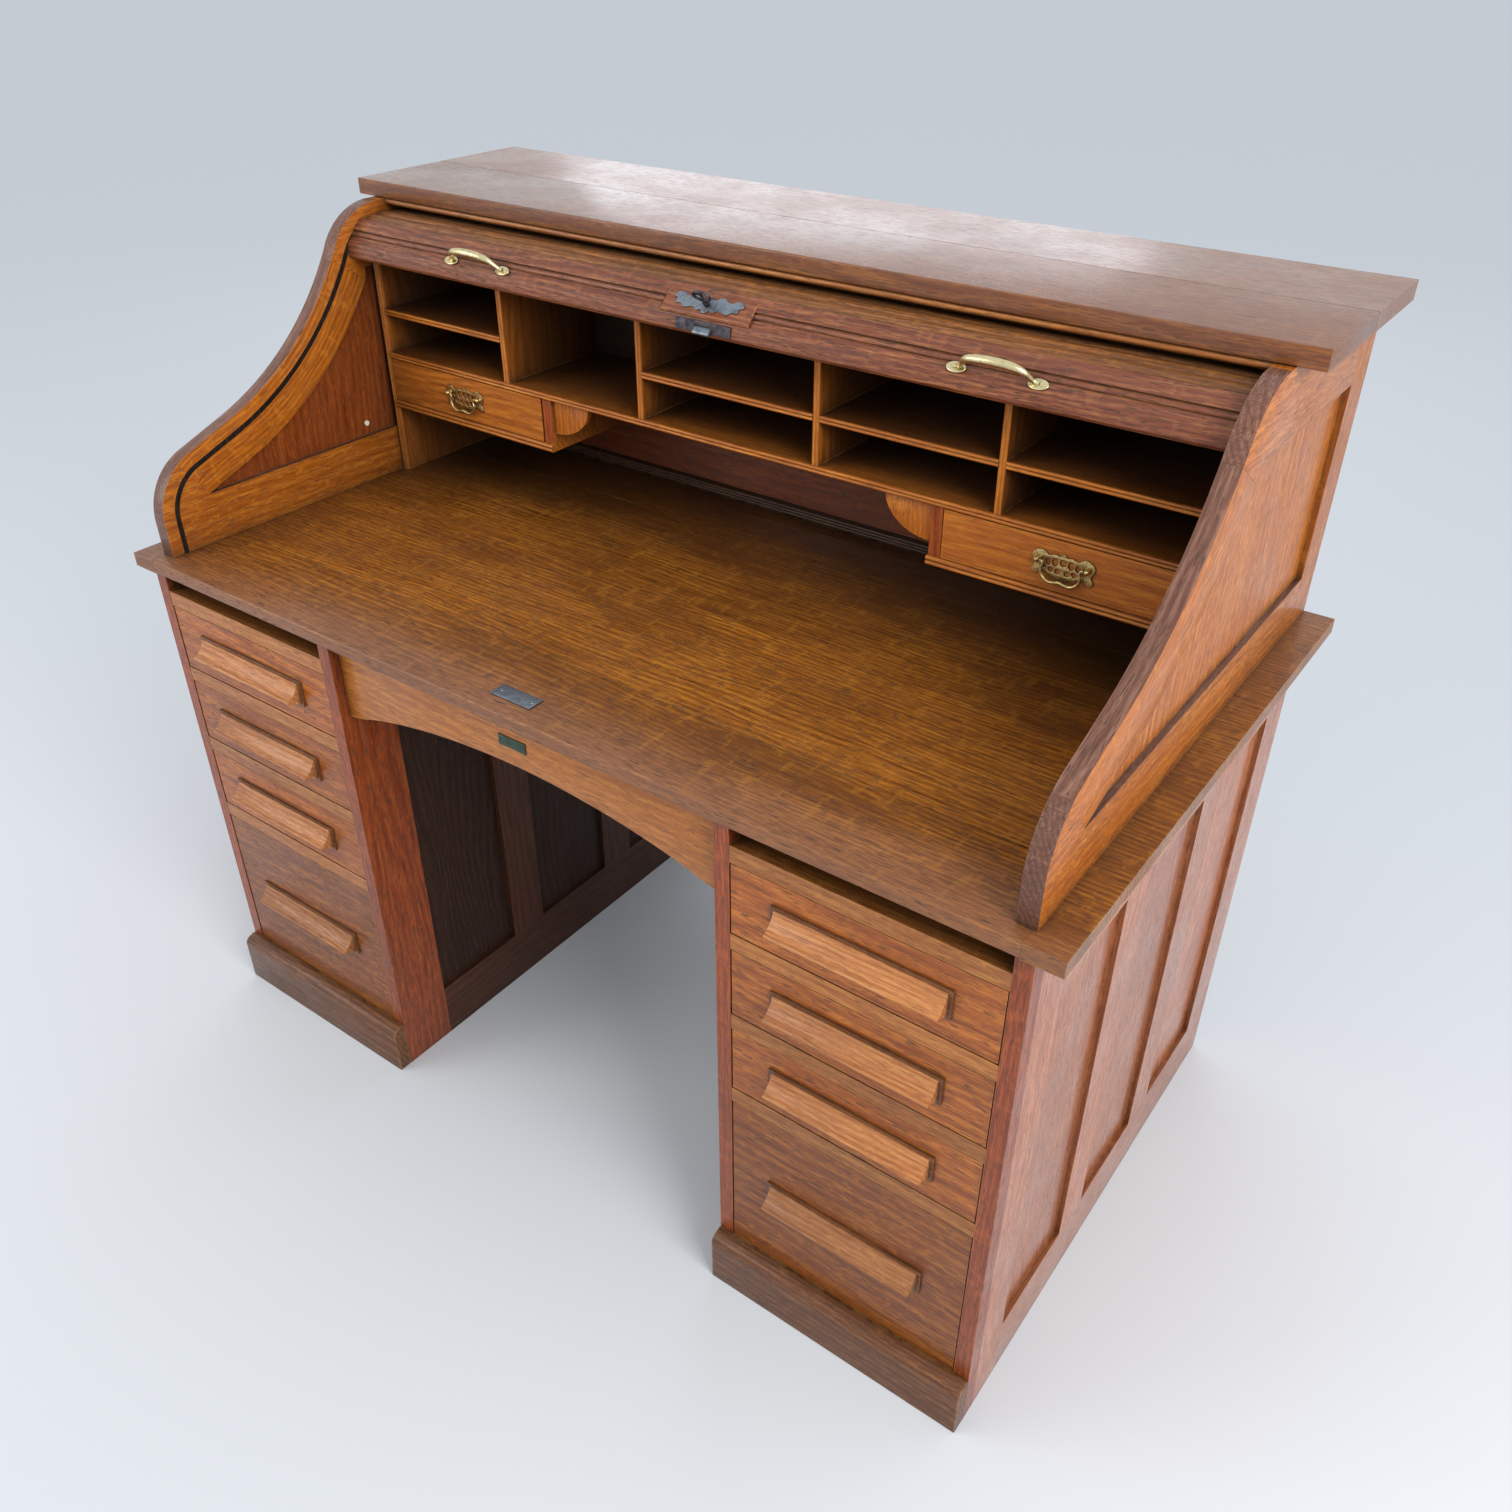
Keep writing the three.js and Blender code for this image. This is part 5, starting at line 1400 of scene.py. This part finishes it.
def slatTree():
    tree = bpy.data.node_groups.new("slatRepeat", "GeometryNodeTree")
    for label, kind, side in (
        ("Slat", "NodeSocketGeometry", "INPUT"), ("Count", "NodeSocketInt", "INPUT"),
        ("Centre", "NodeSocketVector", "INPUT"), ("Turn Each", "NodeSocketFloat", "INPUT"),
        ("Step Each", "NodeSocketVector", "INPUT"), ("Finish", "NodeSocketMaterial", "INPUT"),
        ("Slats", "NodeSocketGeometry", "OUTPUT")
    ):
        tree.interface.new_socket(name=label, in_out=side, socket_type=kind)
    given, result = tree.nodes.new("NodeGroupInput"), tree.nodes.new("NodeGroupOutput")
    line = tree.nodes.new("GeometryNodeMeshLine")
    line.mode = "OFFSET"
    plug(tree, given.outputs["Count"], line.inputs["Count"])
    plug(tree, given.outputs["Centre"], line.inputs["Start Location"])
    plug(tree, given.outputs["Step Each"], line.inputs["Offset"])
    index = tree.nodes.new("GeometryNodeInputIndex")
    turn = tree.nodes.new("ShaderNodeMath")
    turn.operation = "MULTIPLY"
    plug(tree, index.outputs[0], turn.inputs[0])
    plug(tree, given.outputs["Turn Each"], turn.inputs[1])
    angles = tree.nodes.new("ShaderNodeCombineXYZ")
    plug(tree, turn.outputs[0], angles.inputs["X"])
    place = tree.nodes.new("GeometryNodeInstanceOnPoints")
    plug(tree, line.outputs[0], place.inputs["Points"])
    plug(tree, given.outputs["Slat"], place.inputs["Instance"])
    plug(tree, angles.outputs[0], place.inputs["Rotation"])
    real = tree.nodes.new("GeometryNodeRealizeInstances")
    plug(tree, place.outputs[0], real.inputs[0])
    finish = tree.nodes.new("GeometryNodeSetMaterial")
    plug(tree, real.outputs[0], finish.inputs["Geometry"])
    plug(tree, given.outputs["Finish"], finish.inputs["Material"])
    plug(tree, finish.outputs[0], result.inputs["Slats"])
    return tree


repeatTree = slatTree()


def socketId(tree, label):
    return next(item.identifier for item in tree.interface.items_tree
                if item.item_type == "SOCKET" and item.in_out == "INPUT" and item.name == label)


for nodeName, first, last in slats["runs"]:
    along = slats["start"] + slats["pitch"] * (first - 0.5)
    slatY, slatZ, tilt = track(along)
    curved = levelLong <= along <= levelLong + curve["rearArc"][2] * math.pi / 2 + 1 and last - first > 0
    centre = at(0, curve["rearArc"][0], curve["rearArc"][1]) if curved else at(0, slatY, slatZ)
    maker = Maker(nodeName + "_wood", 120 + first)
    up = Vector((0, math.cos(tilt), math.sin(tilt)))
    out = Vector((0, -math.sin(tilt), math.cos(tilt)))
    section = []
    for a, b in slatSection:
        place = up * a + out * b
        section.append((slatY + place.y, slatZ + place.z))
    maker.prism(section, "x", -slats["half"], slats["half"], "slatOak", "x", plank=0.5,
                placeOf=lambda co, up=up, out=out: Vector((co.x, co.dot(up), co.dot(out))))
    made = maker.piece(nodeName, ())
    if last > first:
        made.parent = None
        made.data.transform(Matrix.Translation(-centre))
        repeat = made.modifiers.new("repeat", "NODES")
        repeat.node_group = repeatTree
        step = Vector((0, 0, 0)) if curved else Vector((0, 0, -slats["pitch"] / 1000))
        turnEach = -slats["pitch"] / curve["rearArc"][2] if curved else 0.0
        for label, value in (
            ("Count", last - first + 1), ("Centre", centre), ("Turn Each", turnEach), ("Step Each", step),
            ("Finish", materials["slatOak"])
        ):
            repeat[socketId(repeatTree, label)] = value
        made.update_tag()
        graph = bpy.context.evaluated_depsgraph_get()
        data = bpy.data.meshes.new_from_object(made.evaluated_get(graph))
        made.modifiers.remove(repeat)
        made.data = data
        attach(made, nodeName)
    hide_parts(nodeName)
print("slats made")

# floor, light, camera
floorMesh = bpy.data.meshes.new("floor")
floorMesh.from_pydata([(-40, -40, 0), (40, -40, 0), (40, 40, 0), (-40, 40, 0)], [], [(0, 1, 2, 3)])
floor = bpy.data.objects.new("floor", floorMesh)
bpy.context.scene.collection.objects.link(floor)
floorMaterial, tree, shader = freshMaterial("paleFloor")
shader.inputs["Base Color"].default_value = (0.60, 0.63, 0.67, 1)
shader.inputs["Roughness"].default_value = 0.7
floorMesh.materials.append(floorMaterial)

world = bpy.data.worlds.new("room")
bpy.context.scene.world = world
world.use_nodes = True
world.node_tree.nodes["Background"].inputs["Color"].default_value = (0.88, 0.91, 0.94, 1)
world.node_tree.nodes["Background"].inputs["Strength"].default_value = 0.98


def softbox(name, place, aim, size, power, tint=(1, 1, 1)):
    lamp = bpy.data.lights.new(name, "AREA")
    lamp.shape = "RECTANGLE"
    lamp.size, lamp.size_y = size
    lamp.energy = power
    lamp.color = tint
    made = bpy.data.objects.new(name, lamp)
    bpy.context.scene.collection.objects.link(made)
    made.location = place
    made.rotation_euler = (Vector(aim) - Vector(place)).to_track_quat("-Z", "Y").to_euler()


softbox("keyLight", (3.0, -1.2, 2.4), (0.2, 0.0, 0.7), (1.8, 1.8), 96, (1.0, 0.97, 0.93))
softbox("fillLight", (-2.4, -2.6, 2.0), (0, 0, 0.6), (2.0, 2.0), 40, (1.0, 0.95, 0.9))
softbox("backLight", (-2.3, 4.0, 2.1), (-0.2, 0.2, 1.1), (2.6, 1.7), 16, (0.9, 0.92, 1.0))

camera = {
    "place": (0.9794, -1.2330, 1.5498), "right": (0.80834, 0.58872, 0.00235),
    "up": (-0.32995, 0.44972, 0.82999), "forward": (-0.48758, 0.67169, -0.55777), "lens": 31.52
}
lens = bpy.data.cameras.new("camera")
lens.sensor_width = 36
lens.lens = camera["lens"]
cameraObject = bpy.data.objects.new("camera", lens)
bpy.context.scene.collection.objects.link(cameraObject)
columns = [Vector(camera["right"]), Vector(camera["up"]), -Vector(camera["forward"])]
cameraObject.matrix_world = Matrix.Translation(camera["place"]) @ Matrix(columns).transposed().to_4x4()
bpy.context.scene.camera = cameraObject
bpy.context.scene.view_settings.view_transform = "Standard"
print("light and camera set")
